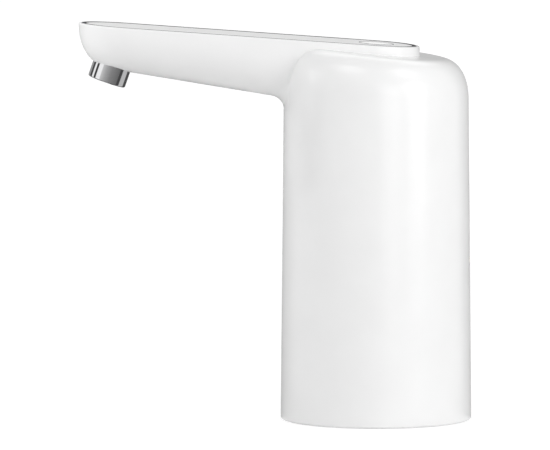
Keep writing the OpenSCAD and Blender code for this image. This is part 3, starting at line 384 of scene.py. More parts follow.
class Effect:
    """Shader node groups that several finishes share."""

    SLOW_SHARE = 0.03
    _made: dict[Grain, bpy.types.NodeTree] = {}

    @staticmethod
    def _moulded(tree: Tree, laid: dict[str, Any]) -> tuple[Any, Any]:
        """Fine grain of a moulding over slow changes of its tone and gloss.

        Args:
            tree: The group.
            laid: Sockets of its vector and scale.

        Returns:
            Sockets of the tone's mask and of the relief's height.
        """
        fine = tree.node("ShaderNodeTexNoise", {**laid, "Detail": 3.0})
        slow_scale = tree.calc("MULTIPLY", laid["Scale"], Effect.SLOW_SHARE)
        slow = tree.node("ShaderNodeTexNoise", {**laid, "Scale": slow_scale, "Detail": 2.0})
        tone = tree.node("ShaderNodeMapRange", {"Value": slow.outputs[0], "From Min": 0.3, "From Max": 0.7})
        return tone.outputs["Result"], fine.outputs[0]

    @staticmethod
    def _drawn(tree: Tree, laid: dict[str, Any]) -> tuple[Any, Any]:
        """Lines that drawing or turning leaves on metal, along the scaled vector's long way.

        Args:
            tree: The group.
            laid: Sockets of its vector and scale.

        Returns:
            Sockets of the tone's mask and of the relief's height.
        """
        lines = tree.node("ShaderNodeTexNoise", {**laid, "Detail": 5.0, "Roughness": 0.65})
        spread = {"From Min": 0.32, "From Max": 0.68}
        tone = tree.node("ShaderNodeMapRange", {"Value": lines.outputs[0], **spread})
        return tone.outputs["Result"], lines.outputs[0]

    @staticmethod
    def _layered(tree: Tree, laid: dict[str, Any]) -> tuple[Any, Any]:
        """Even layers or turns across Z, as in stacked sheet or wound wire."""
        wave = tree.node("ShaderNodeTexWave", {**laid, "Distortion": 0.6, "Detail": 1.0}, bands_direction="Z")
        return wave.outputs[1], wave.outputs[1]

    @staticmethod
    def _printed(tree: Tree, laid: dict[str, Any]) -> tuple[Any, Any]:
        """Copper tracks that show faintly through a circuit board's lacquer.

        Args:
            tree: The group.
            laid: Sockets of its vector and scale.

        Returns:
            Sockets of the tone's mask and of the relief's height.
        """
        shades = {"Color1": (*grey(0), 1), "Color2": (*grey(0.25), 1), "Mortar": WHITE}
        tracks = tree.node("ShaderNodeTexBrick", {**laid, **shades, "Mortar Size": 0.06})
        return tracks.outputs[0], tracks.outputs[0]

    @classmethod
    def group(cls, grain: Grain) -> bpy.types.NodeTree:
        """Build the group of a grain once.

        Args:
            grain: Kind of surface.

        Returns:
            The group, made on the first call and found again on the next ones.
        """
        if grain in cls._made:
            return cls._made[grain]
        group = bpy.data.node_groups.new(grain.value, "ShaderNodeTree")
        for way, kind, labels in (
            ("INPUT", "Vector", ("Vector",)),
            ("INPUT", "Float", ("Scale", "Rough Low", "Rough High")),
            ("INPUT", "Color", ("Tone Low", "Tone High")),
            ("OUTPUT", "Color", ("Color",)),
            ("OUTPUT", "Float", ("Roughness", "Height")),
        ):
            for label in labels:
                group.interface.new_socket(label, in_out=way, socket_type=f"NodeSocket{kind}")
        makers = {
            Grain.MOULDED: cls._moulded,
            Grain.DRAWN: cls._drawn,
            Grain.LAYERED: cls._layered,
            Grain.PRINTED: cls._printed,
        }
        tree = Tree(group)
        take = tree.node("NodeGroupInput").outputs
        tone, height = makers[grain](tree, {"Vector": take["Vector"], "Scale": take["Scale"]})
        ends = {6: take["Tone Low"], 7: take["Tone High"]}
        colour = tree.node("ShaderNodeMix", {0: tone, **ends}, data_type="RGBA")
        gloss = {"To Min": take["Rough Low"], "To Max": take["Rough High"]}
        rough = tree.node("ShaderNodeMapRange", {"Value": tone, **gloss})
        given = {"Color": colour.outputs[2], "Roughness": rough.outputs["Result"], "Height": height}
        tree.node("NodeGroupOutput", given)
        cls._made[grain] = group
        return group


@dataclass(frozen=True)
class Finish:
    """One finish: its tones, gloss, relief and kind of surface."""

    name: str
    low: Colour
    high: Colour
    gloss: Pair
    grain: Grain = Grain.MOULDED
    scale: float = 1500.0
    stretch: Colour = (1.0, 1.0, 1.0)
    relief: float = 0.004
    metallic: float = 0.0
    coat: float = 0.0
    ior: float = 1.48
    specular: float = 0.5
    scatter: float = 0.0
    clear: float = 0.0

    def material(self) -> bpy.types.Material:
        """Build the finish's material once.

        Returns:
            The material, made on the first call and found again on the next ones.
        """
        title = f"{self.name}_finish"
        found = bpy.data.materials.get(title)
        if found:
            return found
        made = bpy.data.materials.new(title)
        tree = Tree.fresh(made)
        place = tree.node("ShaderNodeTexCoord")
        laid = tree.node("ShaderNodeMapping", {"Vector": place.outputs["Object"], "Scale": self.stretch})
        effect = tree.node(
            "ShaderNodeGroup",
            {
                "Vector": laid.outputs[0],
                "Scale": self.scale,
                "Rough Low": self.gloss[0],
                "Rough High": self.gloss[1],
                "Tone Low": (*self.low, 1),
                "Tone High": (*self.high, 1),
            },
            node_tree=Effect.group(self.grain),
        )
        raised = {"Height": effect.outputs["Height"], "Strength": 0.5, "Distance": self.relief * MM}
        bump = tree.node("ShaderNodeBump", raised)
        shader = tree.node(
            "ShaderNodeBsdfPrincipled",
            {
                "Base Color": effect.outputs["Color"],
                "Roughness": effect.outputs["Roughness"],
                "Normal": bump.outputs["Normal"],
                "Metallic": self.metallic,
                "IOR": self.ior,
                "Specular IOR Level": self.specular,
                "Coat Weight": self.coat,
                "Coat Roughness": 0.08,
                "Subsurface Weight": self.scatter,
                "Subsurface Radius": (1.0, 0.9, 0.8),
                "Subsurface Scale": 0.0012,
                "Transmission Weight": self.clear,
            },
        )
        tree.node("ShaderNodeOutputMaterial", {"Surface": shader.outputs[0]})
        return made

    def dress(self, thing: bpy.types.Object) -> None:
        """Give an object this finish all over."""
        thing.data.materials.clear()
        thing.data.materials.append(self.material())


class Finishes:
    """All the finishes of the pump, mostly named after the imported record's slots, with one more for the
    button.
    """

    WHITE_GLOSS = Finish("white_gloss", grey(0.893), grey(0.911), (0.23, 0.27), scale=1800, relief=0.002)
    BUTTON_WHITE = Finish("button_white", grey(0.94), grey(0.95), (0.1, 0.14), scale=1800, relief=0.001)
    GREY_PANEL = Finish("grey_panel", grey(0.83), grey(0.85), (0.62, 0.7), scale=2600, relief=0.006)
    # Painted shade: this dark tone without specular gloss stands in for the shade of the groove round the
    # panel and of the button's hole.
    PAINTED_SHADE_TRIM = Finish(
        "dark_trim", (0.105, 0.105, 0.11), (0.135, 0.135, 0.14), (0.42, 0.5),
        Grain.DRAWN, 700, relief=0.002, specular=0.0,
    )
    CHROME = Finish(
        "chrome", (0.80, 0.80, 0.81), (0.84, 0.84, 0.85), (0.03, 0.07),
        Grain.DRAWN, 260, (1, 1, 6), 0.0006, metallic=1.0,
    )
    WHITE_MATTE = Finish(
        "white_matte", (0.76, 0.76, 0.75), (0.80, 0.80, 0.79), (0.42, 0.52), scale=1400, relief=0.012
    )
    FRAME_GREY = Finish(
        "frame_grey", (0.25, 0.26, 0.27), (0.29, 0.30, 0.31), (0.45, 0.55), scale=1200, relief=0.014
    )
    IVORY_NYLON = Finish(
        "ivory_nylon", (0.62, 0.57, 0.42), (0.68, 0.63, 0.48), (0.38, 0.5), scale=1300, relief=0.01
    )
    BLACK_PLASTIC = Finish("black_plastic", (0.012, 0.012, 0.013), (0.022, 0.022, 0.023), (0.35, 0.5))
    SILICONE = Finish(
        "silicone", (0.62, 0.68, 0.70), (0.70, 0.75, 0.77), (0.42, 0.56),
        scale=900, relief=0.008, scatter=0.25,
    )
    BLACK_RUBBER = Finish("black_rubber", grey(0.014), grey(0.028), (0.6, 0.78), scale=1100, relief=0.02)
    SCREW_STEEL = Finish(
        "screw_steel", (0.50, 0.50, 0.51), (0.62, 0.62, 0.63), (0.22, 0.36),
        Grain.DRAWN, 900, (1, 1, 0.2), metallic=1.0,
    )
    CAN_STEEL = Finish(
        "can_steel", (0.52, 0.52, 0.50), (0.64, 0.64, 0.61), (0.24, 0.38),
        Grain.DRAWN, 500, (1, 1, 0.06), metallic=1.0,
    )
    NICKEL = Finish(
        "nickel", (0.60, 0.57, 0.51), (0.70, 0.67, 0.61), (0.2, 0.34),
        Grain.DRAWN, 700, (0.08, 1, 1), metallic=1.0,
    )
    CELL_WRAP = Finish(
        "cell_wrap", (0.022, 0.085, 0.25), (0.03, 0.11, 0.30), (0.2, 0.3), scale=700, relief=0.01, coat=0.4
    )
    LEAD_SHEATH = Finish(
        "lead_sheath", (0.28, 0.012, 0.01), (0.36, 0.018, 0.014), (0.36, 0.48), scale=1100, relief=0.01
    )
    BOARD_GREEN = Finish(
        "board_green", (0.008, 0.07, 0.022), (0.03, 0.14, 0.05), (0.22, 0.32),
        Grain.PRINTED, 320, relief=0.02, coat=0.3,
    )
    FERRITE = Finish(
        "ferrite", (0.02, 0.02, 0.022), (0.04, 0.04, 0.042), (0.55, 0.72), scale=2200, relief=0.03
    )
    LAMINATION = Finish(
        "lamination", (0.16, 0.16, 0.165), (0.30, 0.30, 0.31), (0.36, 0.5),
        Grain.LAYERED, 320, relief=0.03, metallic=1.0,
    )
    BRONZE = Finish(
        "bronze", (0.36, 0.19, 0.06), (0.46, 0.26, 0.09), (0.36, 0.5), scale=2600, relief=0.012, metallic=1.0
    )
    COPPER = Finish(
        "copper", (0.40, 0.11, 0.04), (0.62, 0.22, 0.09), (0.22, 0.34),
        Grain.LAYERED, 480, relief=0.05, metallic=1.0,
    )


@dataclass
class Rim:
    """The sloping plane of the top, with the pill-shaped outline that the housing's rim follows."""

    top_z: float = 146.0
    tilt: float = 4.03
    width: float = 31.0
    front_c: float = 95.8
    front_len: float = 19.4
    rear_c: float = -0.4
    rear_len: float = 17.2
    end_steps: int = 40
    side_steps: int = 24

    def place(self) -> Matrix:
        """Turn and shift from the plane's own lengths to the part's frame."""
        return Matrix.Translation((0, 0, self.top_z)) @ Matrix.Rotation(math.radians(self.tilt), 4, "Y")

    def height(self, x: np.ndarray) -> np.ndarray:
        """Height of the plane above points of the X axis."""
        return self.top_z - x * math.tan(math.radians(self.tilt))

    def outline(self, inset: float, height: float) -> np.ndarray:
        """Outline at an inset, in the plane's own lengths.

        Args:
            inset: How far the outline is set in from the housing's edge.
            height: Height above the plane.

        Returns:
            One row for each point.
        """
        half = self.width / 2 - inset
        stretch = 1 / math.cos(math.radians(self.tilt))
        turn = np.linspace(-QUARTER, QUARTER, 2 * self.end_steps + 1)
        rear = np.stack([self.rear_c + (self.rear_len - inset) * np.cos(turn), half * np.sin(turn)], 1)
        front = np.stack([-self.front_c - (self.front_len - inset) * np.cos(turn), -half * np.sin(turn)], 1)
        side = np.linspace(0, 1, self.side_steps + 1)[1:-1, None]
        line = np.concatenate(
            [rear, rear[-1] + (front[0] - rear[-1]) * side, front, front[-1] + (rear[0] - front[-1]) * side]
        )
        line[:, 0] *= stretch
        return np.column_stack([line, np.full(len(line), height)])

    def plate(self, name: str, section: Sequence[Pair], loop: bool) -> bpy.types.Object:
        """Sweep a section along the outline.

        Args:
            name: Name of the piece.
            section: Inset and height of the section's points.
            loop: Whether the section is closed, as on a ring, or flat faces close its ends.

        Returns:
            The new object.
        """
        return Mesh.stack(name, [self.outline(i, h) for i, h in section], loop, self.place())


@dataclass
class Housing:
    """White one-piece moulding of the body and the spout."""

    rim: Rim
    base_r: float = 37.0
    body_h: float = 142.65
    draft: float = 0.55
    crown_fall: float = 0.1
    slant_low: float = 80.0
    slant_high: float = 115.0
    shoulder_h: float = 15.0
    shoulder_w: float = 10.0
    shoulder_n: float = 2.2
    foot_r: float = 0.9
    wall: float = 2.2
    spout_reach: float = 115.2
    root_depth: float = 23.5
    tip_depth: float = 16.1
    bow_len: float = 13.2
    bow_n: float = 2.33
    blend_r: float = 5.0
    blend_fade: float = 0.667
    blend_end: float = 0.463
    blend_bite: float = 0.3
    edge_r: float = 0.6
    rim_w: float = 1.1
    lip_r: float = 0.25
    pocket_depth: float = 3.3
    ledge_inset: float = 2.8
    ledge_sunk: float = 1.6
    near_end: float = 14.0
    blend_start: float = 13.5
    blend_stop: float = 12.0
    far_start: float = 13.0
    far_gap: float = 1.0
    plain_step: float = 2.5
    blend_step: float = 0.75
    side_gap: float = 4.0
    cut: float = 1.0
    crease: float = 28.0
    turns: int = 224
    u_steps: int = 72
    foot_steps: int = 8
    lip_steps: int = 4
    side_steps: int = 24
    hollow_steps: int = 12
    halvings: int = 18

    def side_r(self, z: Any) -> Any:
        """Outer radius of the body's straight side at a height, or at an array of them."""
        return self.base_r - z * math.tan(math.radians(self.draft))

    @property
    def shoulder_z(self) -> float:
        """Height where the shoulder starts."""
        return self.body_h - self.shoulder_h

    @property
    def shoulder_c(self) -> float:
        """Radius of the flat crown inside the shoulder."""
        return self.side_r(self.shoulder_z) - self.shoulder_w

    def skin_r(self, z: np.ndarray) -> np.ndarray:
        """Outer radius of the body at heights.

        Args:
            z: Heights.

        Returns:
            A radius for each height.
        """
        up = np.clip((z - self.shoulder_z) / self.shoulder_h, 0, 1)
        curve = self.shoulder_c + self.shoulder_w * (1 - up**self.shoulder_n) ** (1 / self.shoulder_n)
        return np.where(z <= self.shoulder_z, self.side_r(z), curve)

    def shoulder(self, inset: float, steps: int = 48) -> list[Pair]:
        """Shoulder's curve from the side to the crown.

        Args:
            inset: How far the curve is set in.
            steps: Number of straight pieces.

        Returns:
            Radius and height of each point.
        """
        power = 2 / self.shoulder_n
        wide, tall = self.shoulder_w - inset, self.shoulder_h - inset
        points: list[Pair] = []
        for i in range(steps + 1):
            angle = QUARTER * i / steps
            across, up = max(0.0, math.cos(angle)) ** power, math.sin(angle) ** power
            points.append((self.shoulder_c + wide * across, self.shoulder_z + tall * up))
        return points

    def side_line(self, inset: float, steps: int) -> list[Pair]:
        """Points of the straight side between the foot and the shoulder.

        Args:
            inset: How far the side is set in.
            steps: Number of points.

        Returns:
            Radius and height of each point.
        """
        heights = np.linspace(self.side_gap, self.shoulder_z - self.side_gap, steps)
        return [(self.side_r(z) - inset, z) for z in heights]

    def body_line(self) -> list[Pair]:
        """Section of the body's outside, from axis to axis.

        Returns:
            Radius and height of each point.
        """
        line: list[Pair] = [(0, 0)]
        foot = self.side_r(self.foot_r)
        for i in range(self.foot_steps + 1):
            angle = QUARTER * i / self.foot_steps
            line.append((foot - self.foot_r * (1 - math.sin(angle)), self.foot_r * (1 - math.cos(angle))))
        crown = [(self.shoulder_c / 2, self.body_h), (0, self.body_h)]
        return line + self.side_line(0, self.side_steps) + self.shoulder(0) + crown

    def hollow_line(self) -> list[Pair]:
        """Section of the body's inside, from axis to axis.

        Returns:
            Radius and height of each point.
        """
        foot = [(0, -self.cut), (self.side_r(-self.cut) - self.wall, -self.cut)]
        side = self.side_line(self.wall, self.hollow_steps)
        return foot + side + self.shoulder(self.wall, 2 * self.hollow_steps) + [(0, self.body_h - self.wall)]

    def slant(self, form: bpy.types.Object) -> bpy.types.Object:
        """Tilt the shoulder and crown of an upright form, and leave its side where it is.

        Args:
            form: Turned body or hollow.

        Returns:
            The same object.
        """
        points = np.empty(3 * len(form.data.vertices))
        form.data.vertices.foreach_get("co", points)
        points = points.reshape(-1, 3)
        share = np.clip((points[:, 2] / MM - self.slant_low) / (self.slant_high - self.slant_low), 0, 1)
        points[:, 2] -= self.crown_fall * points[:, 0] * share * share * (3 - 2 * share)
        form.data.vertices.foreach_set("co", points.ravel())
        return form

    def half_w(self, x: np.ndarray, inset: float) -> np.ndarray:
        """Half width of the rim at stations.

        Args:
            x: Stations along X.
            inset: How far the outline is set in.

        Returns:
            A half width for each station.
        """
        rim = self.rim
        front = np.clip((-x - rim.front_c) / (rim.front_len - inset), 0, 1)
        rear = np.clip((x - rim.rear_c) / (rim.rear_len - inset), 0, 1)
        return (rim.width / 2 - inset) * np.sqrt(1 - np.maximum(front, rear) ** 2)

    def depth(self, x: np.ndarray, inset: float) -> np.ndarray:
        """Depth of the spout under the rim's plane at stations.

        Args:
            x: Stations along X.
            inset: How far the surface is set in.

        Returns:
            A depth for each station.
        """
        run = (-x - self.base_r) / (self.spout_reach - self.base_r)
        plain = self.root_depth + (self.tip_depth - self.root_depth) * run
        bow = np.clip((-x - self.spout_reach + self.bow_len) / (self.bow_len - inset), 0, 1)
        return (plain - inset) * (1 - bow**self.bow_n) ** (1 / self.bow_n)

    def stations(self, inset: float) -> np.ndarray:
        """Stations along X, from the rim's rear end to the spout's tip, close together at the blend.

        Args:
            inset: How far the surface is set in.

        Returns:
            The stations, in falling order.
        """
        rim, root = self.rim, -self.base_r
        end = np.linspace(0, QUARTER, rim.end_steps + 1)
        rear = rim.rear_c + (rim.rear_len - inset) * np.sin(end[::-1])
        near = np.arange(rim.rear_c - self.plain_step, root + self.near_end, -self.plain_step)
        blend = np.arange(root + self.blend_start, root - self.blend_stop, -self.blend_step)
        far = np.arange(root - self.far_start, self.far_gap - rim.front_c, -self.plain_step)
        front = -rim.front_c - (rim.front_len - inset) * np.sin(end)
        return np.concatenate([rear, near, blend, far, front])

    def swell(self, points: np.ndarray, normals: np.ndarray) -> np.ndarray:
        """Swell that rounds the corner between the spout and the body.

        Args:
            points: Points of the plain spout.
            normals: Outward normals of its sections there.

        Returns:
            How far each point moves along its normal.
        """
        z = points[..., 2]
        end = self.shoulder_z + self.blend_end * self.shoulder_h
        fade = np.clip((end - z) / (self.blend_fade * self.shoulder_h), 0, 1)
        radius = self.blend_r * fade * fade * (3 - 2 * fade)
        low, high = np.zeros_like(radius), radius.copy()
        for _ in range(self.halvings):
            mid = (low + high) / 2
            moved = points + mid[..., None] * normals
            level = moved[..., 2] + self.crown_fall * moved[..., 0]
            skin = np.where(level > self.body_h, 0, self.skin_r(level) - self.blend_bite)
            gap = np.hypot(moved[..., 0], moved[..., 1]) - skin
            inside = radius - np.hypot(np.maximum(0, radius - gap), radius - mid) <= 0
            low, high = np.where(inside, mid, low), np.where(inside, high, mid)
        return low

    def sections(self, x: np.ndarray, inset: float, sunk: float, blended: bool) -> np.ndarray:
        """U sections of the spout at stations, from one rim edge round to the other.

        Args:
            x: Stations along X.
            inset: How far the surface is set in.
            sunk: How far the sections' edges lie under the rim's plane.
            blended: Whether the corner to the body is rounded.

        Returns:
            Points by station and place in the section.
        """
        angle = np.linspace(0, math.pi, self.u_steps + 1)
        power = 2 / self.bow_n
        across = np.sign(np.cos(angle)) * np.abs(np.cos(angle)) ** power
        across[self.u_steps // 2] = 0
        down = np.abs(np.sin(angle)) ** power
        down[[0, -1]] = 0
        half = self.half_w(x, inset)
        deep = np.maximum(self.depth(x, inset), sunk)
        points = np.stack(
            [
                np.repeat(x[:, None], len(angle), 1),
                half[:, None] * across,
                (self.rim.height(x) - sunk)[:, None] - (deep - sunk)[:, None] * down,
            ],
            axis=-1,
        )
        if not blended:
            return points
        slope_y = np.sign(across) * np.abs(across) ** (self.bow_n - 1) / np.maximum(half, LEAST_HALF)[:, None]
        slope_z = -(down ** (self.bow_n - 1)) / np.maximum(deep, LEAST_HALF)[:, None]
        size = np.maximum(np.hypot(slope_y, slope_z), LEAST_SLOPE)
        normals = np.stack([np.zeros_like(slope_y), slope_y / size, slope_z / size], axis=-1)
        return points + normals * self.swell(points, normals)[..., None]

    def rim_rings(self, x: np.ndarray, radius: float, steps: int = 6) -> list[np.ndarray]:
        """Rounded upper edge of the spout, as pairs of points on both sides of each station.

        Args:
            x: Stations along X.
            radius: Radius of the edge.
            steps: Number of straight pieces in the round.

        Returns:
            Arrays of station, side and coordinate, from the side up to the top.
        """
        rim = self.rim
        half = self.half_w(x, 0)
        lean = np.where(
            x < -rim.front_c,
            (x + rim.front_c) / rim.front_len**2,
            np.where(x > rim.rear_c, (x - rim.rear_c) / rim.rear_len**2, 0),
        )
        out = half / (rim.width / 2) ** 2
        size = np.hypot(lean, out)
        lean, out = lean / size, out / size
        rings = []
        for k in range(1, steps + 1):
            angle = QUARTER * k / steps
            inset, drop = radius * (1 - math.cos(angle)), radius * (1 - math.sin(angle))
            along = x - lean * inset
            top = rim.height(along) - drop
            sides = [np.stack([along, s * (half - out * inset), top], -1) for s in (1, -1)]
            rings.append(np.stack(sides, axis=1))
        return rings

    def spout(self, name: str, inset: float, sunk: float, blended: bool, edge_r: float) -> bpy.types.Object:
        """Loft of the spout as a closed solid.

        Args:
            name: Name of the solid.
            inset: How far the surface is set in.
            sunk: How far the sections' edges lie under the rim's plane.
            blended: Whether the corner to the body is rounded.
            edge_r: Radius of the upper edge, or 0 for a plain flat top.

        Returns:
            The new object.
        """
        x = self.stations(inset)
        grid = self.sections(x, inset, sunk, blended)
        rows, columns = grid.shape[:2]
        faces = Mesh.grid_faces(rows, columns, False, False)
        points = [grid.reshape(-1, 3)]
        left = [[i * columns for i in range(rows)]]
        right = [[i * columns + columns - 1 for i in range(rows)]]
        start = rows * columns
        for ring in self.rim_rings(x, edge_r) if edge_r else []:
            points.append(ring.reshape(-1, 3))
            left.append([start + 2 * i for i in range(rows)])
            right.append([start + 2 * i + 1 for i in range(rows)])
            start += 2 * rows
        for side in (left, right):
            for low, high in zip(side, side[1:]):
                faces += [[low[i], low[i + 1], high[i + 1], high[i]] for i in range(rows - 1)]
        faces += [[left[-1][i], left[-1][i + 1], right[-1][i + 1], right[-1][i]] for i in range(rows - 1)]
        return Mesh.piece(name, np.concatenate(points), faces, Matrix())

    def build(self, nozzle: Nozzle, charging: ChargingSocket) -> bpy.types.Object:
        """Make the housing and dress it.

        Args:
            nozzle: Nozzle whose bore the housing has.
            charging: Charging socket whose slot the housing has.

        Returns:
            The finished piece.
        """
        shell = self.slant(Mesh.lathe("housing_shell", self.body_line(), turns=self.turns))
        hollow = self.slant(Mesh.lathe("body_hollow", self.hollow_line(), turns=self.turns))
        Mesh.work(shell, self.spout("spout", 0, self.edge_r, True, self.edge_r), Cut.ADD)
        Mesh.work(shell, hollow, Cut.TAKE)
        Mesh.work(shell, self.spout("spout_hollow", self.ledge_inset, self.ledge_sunk, False, 0), Cut.TAKE)
        turn = np.linspace(0, QUARTER, self.lip_steps + 1)
        lip = [(self.rim_w - self.lip_r * (1 - math.sin(a)), -self.lip_r * (1 - math.cos(a))) for a in turn]
        pocket = [(self.rim_w - self.lip_r, self.cut), *lip, (self.rim_w, -self.pocket_depth)]
        Mesh.work(shell, self.rim.plate("pocket", pocket, False), Cut.TAKE)
        Mesh.work(shell, nozzle.bore(), Cut.TAKE)
        Mesh.work(shell, charging.slot(self.base_r), Cut.TAKE)
        Mesh.shade(shell, self.crease)
        Finishes.WHITE_GLOSS.dress(shell)
        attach(shell, Body.FRAME.value)
        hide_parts("housing")
        return shell


@dataclass
class TopPanel:
    """Grey panel in the rim, with the trim ring around it and a thin ring round the button, whose dark finish
    is painted shade.
    """

    rim: Rim
    inset: float = 2.8
    face: float = -0.1
    bottom: float = -3.2
    edge_r: float = 0.35
    flange_inset: float = 1.2
    flange_top: float = -1.8
    hole_r: float = 6.6
    trim_inset: float = 1.2
    trim_w: float = 1.5
    trim_top: float = 0.0
    trim_h: float = 1.7
    trim_edge: float = 0.12
    # Sizes of the dark ring in the button's hole, added to paint the shade of the hole's far wall.
    shade_ring_w: float = 0.12
    shade_ring_h: float = 0.9
    shade_ring_gap: float = 0.02
    face_w: float = 2.0
    cut: float = 1.0
    trim_crease: float = 40.0
    turns: int = 128

    def build(self) -> list[bpy.types.Object]:
        """Make the panel, the trim ring and the dark ring in the button's hole and dress them.

        Returns:
            The finished pieces.
        """
        section = Line.fillet(
            [
                (self.flange_inset, self.bottom, 0),
                (self.flange_inset, self.flange_top, 0),
                (self.inset, self.flange_top, 0),
                (self.inset, self.face, self.edge_r),
                (self.inset + self.face_w, self.face, 0),
            ],
            closed=False,
        )
        panel = self.rim.plate("grey_top_panel", section, False)
        seat = self.hole_r + self.shade_ring_w
        step = self.trim_top - self.shade_ring_h
        under, over, hole = self.bottom - self.cut, self.cut, self.hole_r
        line = [(0, under), (hole, under), (hole, step), (seat, step), (seat, over), (0, over)]
        Mesh.work(panel, Mesh.lathe("button_hole", line, self.rim.place(), self.turns), Cut.TAKE)
        Mesh.shade(panel)
        Finishes.GREY_PANEL.dress(panel)
        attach(panel, Body.FRAME.value)
        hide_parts("top_panel")

        # The trim ring is a real part; its dark finish adds painted shade for the groove line round the
        # panel.
        low, inner = self.trim_top - self.trim_h, self.trim_inset + self.trim_w
        top = (self.trim_top, self.trim_edge)
        edge = self.trim_inset
        section = Line.fillet([(edge, low, 0), (edge, *top), (inner, *top), (inner, low, 0)])
        trim = self.rim.plate("plated_trim_ring", section, True)
        Mesh.shade(trim, self.trim_crease)
        Finishes.PAINTED_SHADE_TRIM.dress(trim)
        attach(trim, Body.FRAME.value)
        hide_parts("trim_ring")

        # Painted shade: this dark ring is added in the button's hole so that its colour stands in for the
        # shade on the hole's far wall.
        outer = seat - self.shade_ring_gap
        line = Line.fillet([(hole, step, 0), (outer, step, 0), (outer, *top), (hole, *top)])
        shade_ring = Mesh.lathe("button_bezel", line, self.rim.place(), self.turns)
        Mesh.shade(shade_ring, self.trim_crease)
        Finishes.PAINTED_SHADE_TRIM.dress(shade_ring)
        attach(shade_ring, Body.FRAME.value)
        return [panel, trim, shade_ring]


@dataclass
class PushButton:
    """White dished button on the body's axis."""

    rim: Rim
    radius: float = 6.5
    rise: float = -0.05
    dish: float = 0.12
    edge_r: float = 0.35
    lip_r: float = 7.7
    lip_top: float = -3.3
    lip_t: float = 1.0
    stem_r: float = 2.0
    stem_foot: float = -5.1
    corner_r: float = 0.15
    dish_steps: int = 14
    turns: int = 128

    def build(self) -> bpy.types.Object:
        """Make the button and dress it.

        Returns:
            The finished piece.
        """
        edge = self.radius - self.edge_r
        steps, lip_low = self.dish_steps, self.lip_top - self.lip_t
        face = [(edge * k / steps, self.rise - self.dish * (1 - (k / steps) ** 2)) for k in range(steps)]
        rounded = Line.fillet(
            [
                (*face[-1], 0),
                (edge, self.rise, self.edge_r),
                (self.radius, self.rise, self.edge_r),
                (self.radius, self.lip_top, self.corner_r),
                (self.lip_r, self.lip_top, self.corner_r),
                (self.lip_r, lip_low, self.corner_r),
                (self.stem_r, lip_low, self.corner_r),
                (self.stem_r, self.stem_foot, self.corner_r),
                (0, self.stem_foot, 0),
            ],
            closed=False,
        )
        button = Mesh.lathe("dished_button", face[:-1] + rounded, self.rim.place(), self.turns)
        Mesh.shade(button)
        Finishes.BUTTON_WHITE.dress(button)
        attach(button, Body.BUTTON.value)
        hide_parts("button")
        return button


@dataclass
class Nozzle:
    """Chrome sleeve under the spout's tip, with its perforated insert."""

    x: float = -104.45
    z: float = 131.069
    tilt: float = 19.2
    radius: float = 7.5
    bore_r: float = 5.8
    length: float = 8.6
    web: float = 1.8
    stem_r: float = 4.0
    clearance: float = 0.1
    mouth_r: float = 0.55
    insert_low: float = 0.5
    insert_h: float = 3.0
    hole_r: float = 0.7
    ring_r: float = 3.4
    holes: int = 8
    mouth_share: float = 0.8
    insert_gap: float = 0.05
    insert_rim: Pair = (1.2, 0.8)
    dent: float = 0.5
    drill_share: float = 1.5
    stem_run: float = 3.0
    cut: float = 1.0
    turns: int = 128
    insert_turns: int = 64

    def place(self, unit: float = 1.0) -> Matrix:
        """Turn and shift from the nozzle's own lengths to the part's frame, in millimetres times a unit."""
        shift = Matrix.Translation((self.x * unit, 0, self.z * unit))
        return shift @ Matrix.Rotation(math.radians(self.tilt), 4, "Y")

    def bore(self) -> bpy.types.Object:
        """Solid of the bore that the housing has for the sleeve and the elbow's stem.

        Returns:
            The new object.
        """
        wide, stem = self.radius + self.clearance, self.stem_r + self.clearance
        top = self.length + self.clearance
        low, end = -self.cut, top + self.stem_run
        line = [(0, low), (wide, low), (wide, top), (stem, top), (stem, end), (0, end)]
        return Mesh.lathe("nozzle_bore", line, self.place())

    def build(self) -> list[bpy.types.Object]:
        """Make the sleeve and its insert and dress them.

        Returns:
            The finished pieces.
        """
        stem, web = self.stem_r + self.clearance, self.length - self.web
        line = Line.fillet(
            [
                (self.bore_r, 0, self.mouth_r * self.mouth_share),
                (self.radius, 0, self.mouth_r),
                (self.radius, self.length, 0.2),
                (stem, self.length, 0.1),
                (stem, web, 0.1),
                (self.bore_r, web, 0.2),
            ]
        )
        sleeve = Mesh.lathe("chrome_nozzle_sleeve", line, self.place(), self.turns)
        Mesh.shade(sleeve)
        Finishes.CHROME.dress(sleeve)
        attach(sleeve, Body.FRAME.value)
        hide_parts("nozzle_sleeve")

        reach, low = self.bore_r - self.insert_gap, self.insert_low
        dent, high = low + self.dent, low + self.insert_h
        line = Line.fillet(
            [
                (0, dent, 0),
                (reach - self.insert_rim[0], dent, 0.2),
                (reach - self.insert_rim[1], low, 0.15),
                (reach, low, 0.2),
                (reach, high, 0.2),
                (0, high, 0),
            ],
            closed=False,
        )
        insert = Mesh.lathe("nozzle_strainer", line, turns=self.insert_turns)
        Repeats.perforate(
            insert,
            self.holes,
            self.ring_r,
            self.hole_r,
            (low + self.insert_h / 2, self.insert_h * self.drill_share),
            Finishes.WHITE_MATTE.material(),
        )
        insert.data.transform(self.place(MM))
        Mesh.shade(insert)
        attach(insert, Body.FRAME.value)
        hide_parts("nozzle_insert")
        return [sleeve, insert]


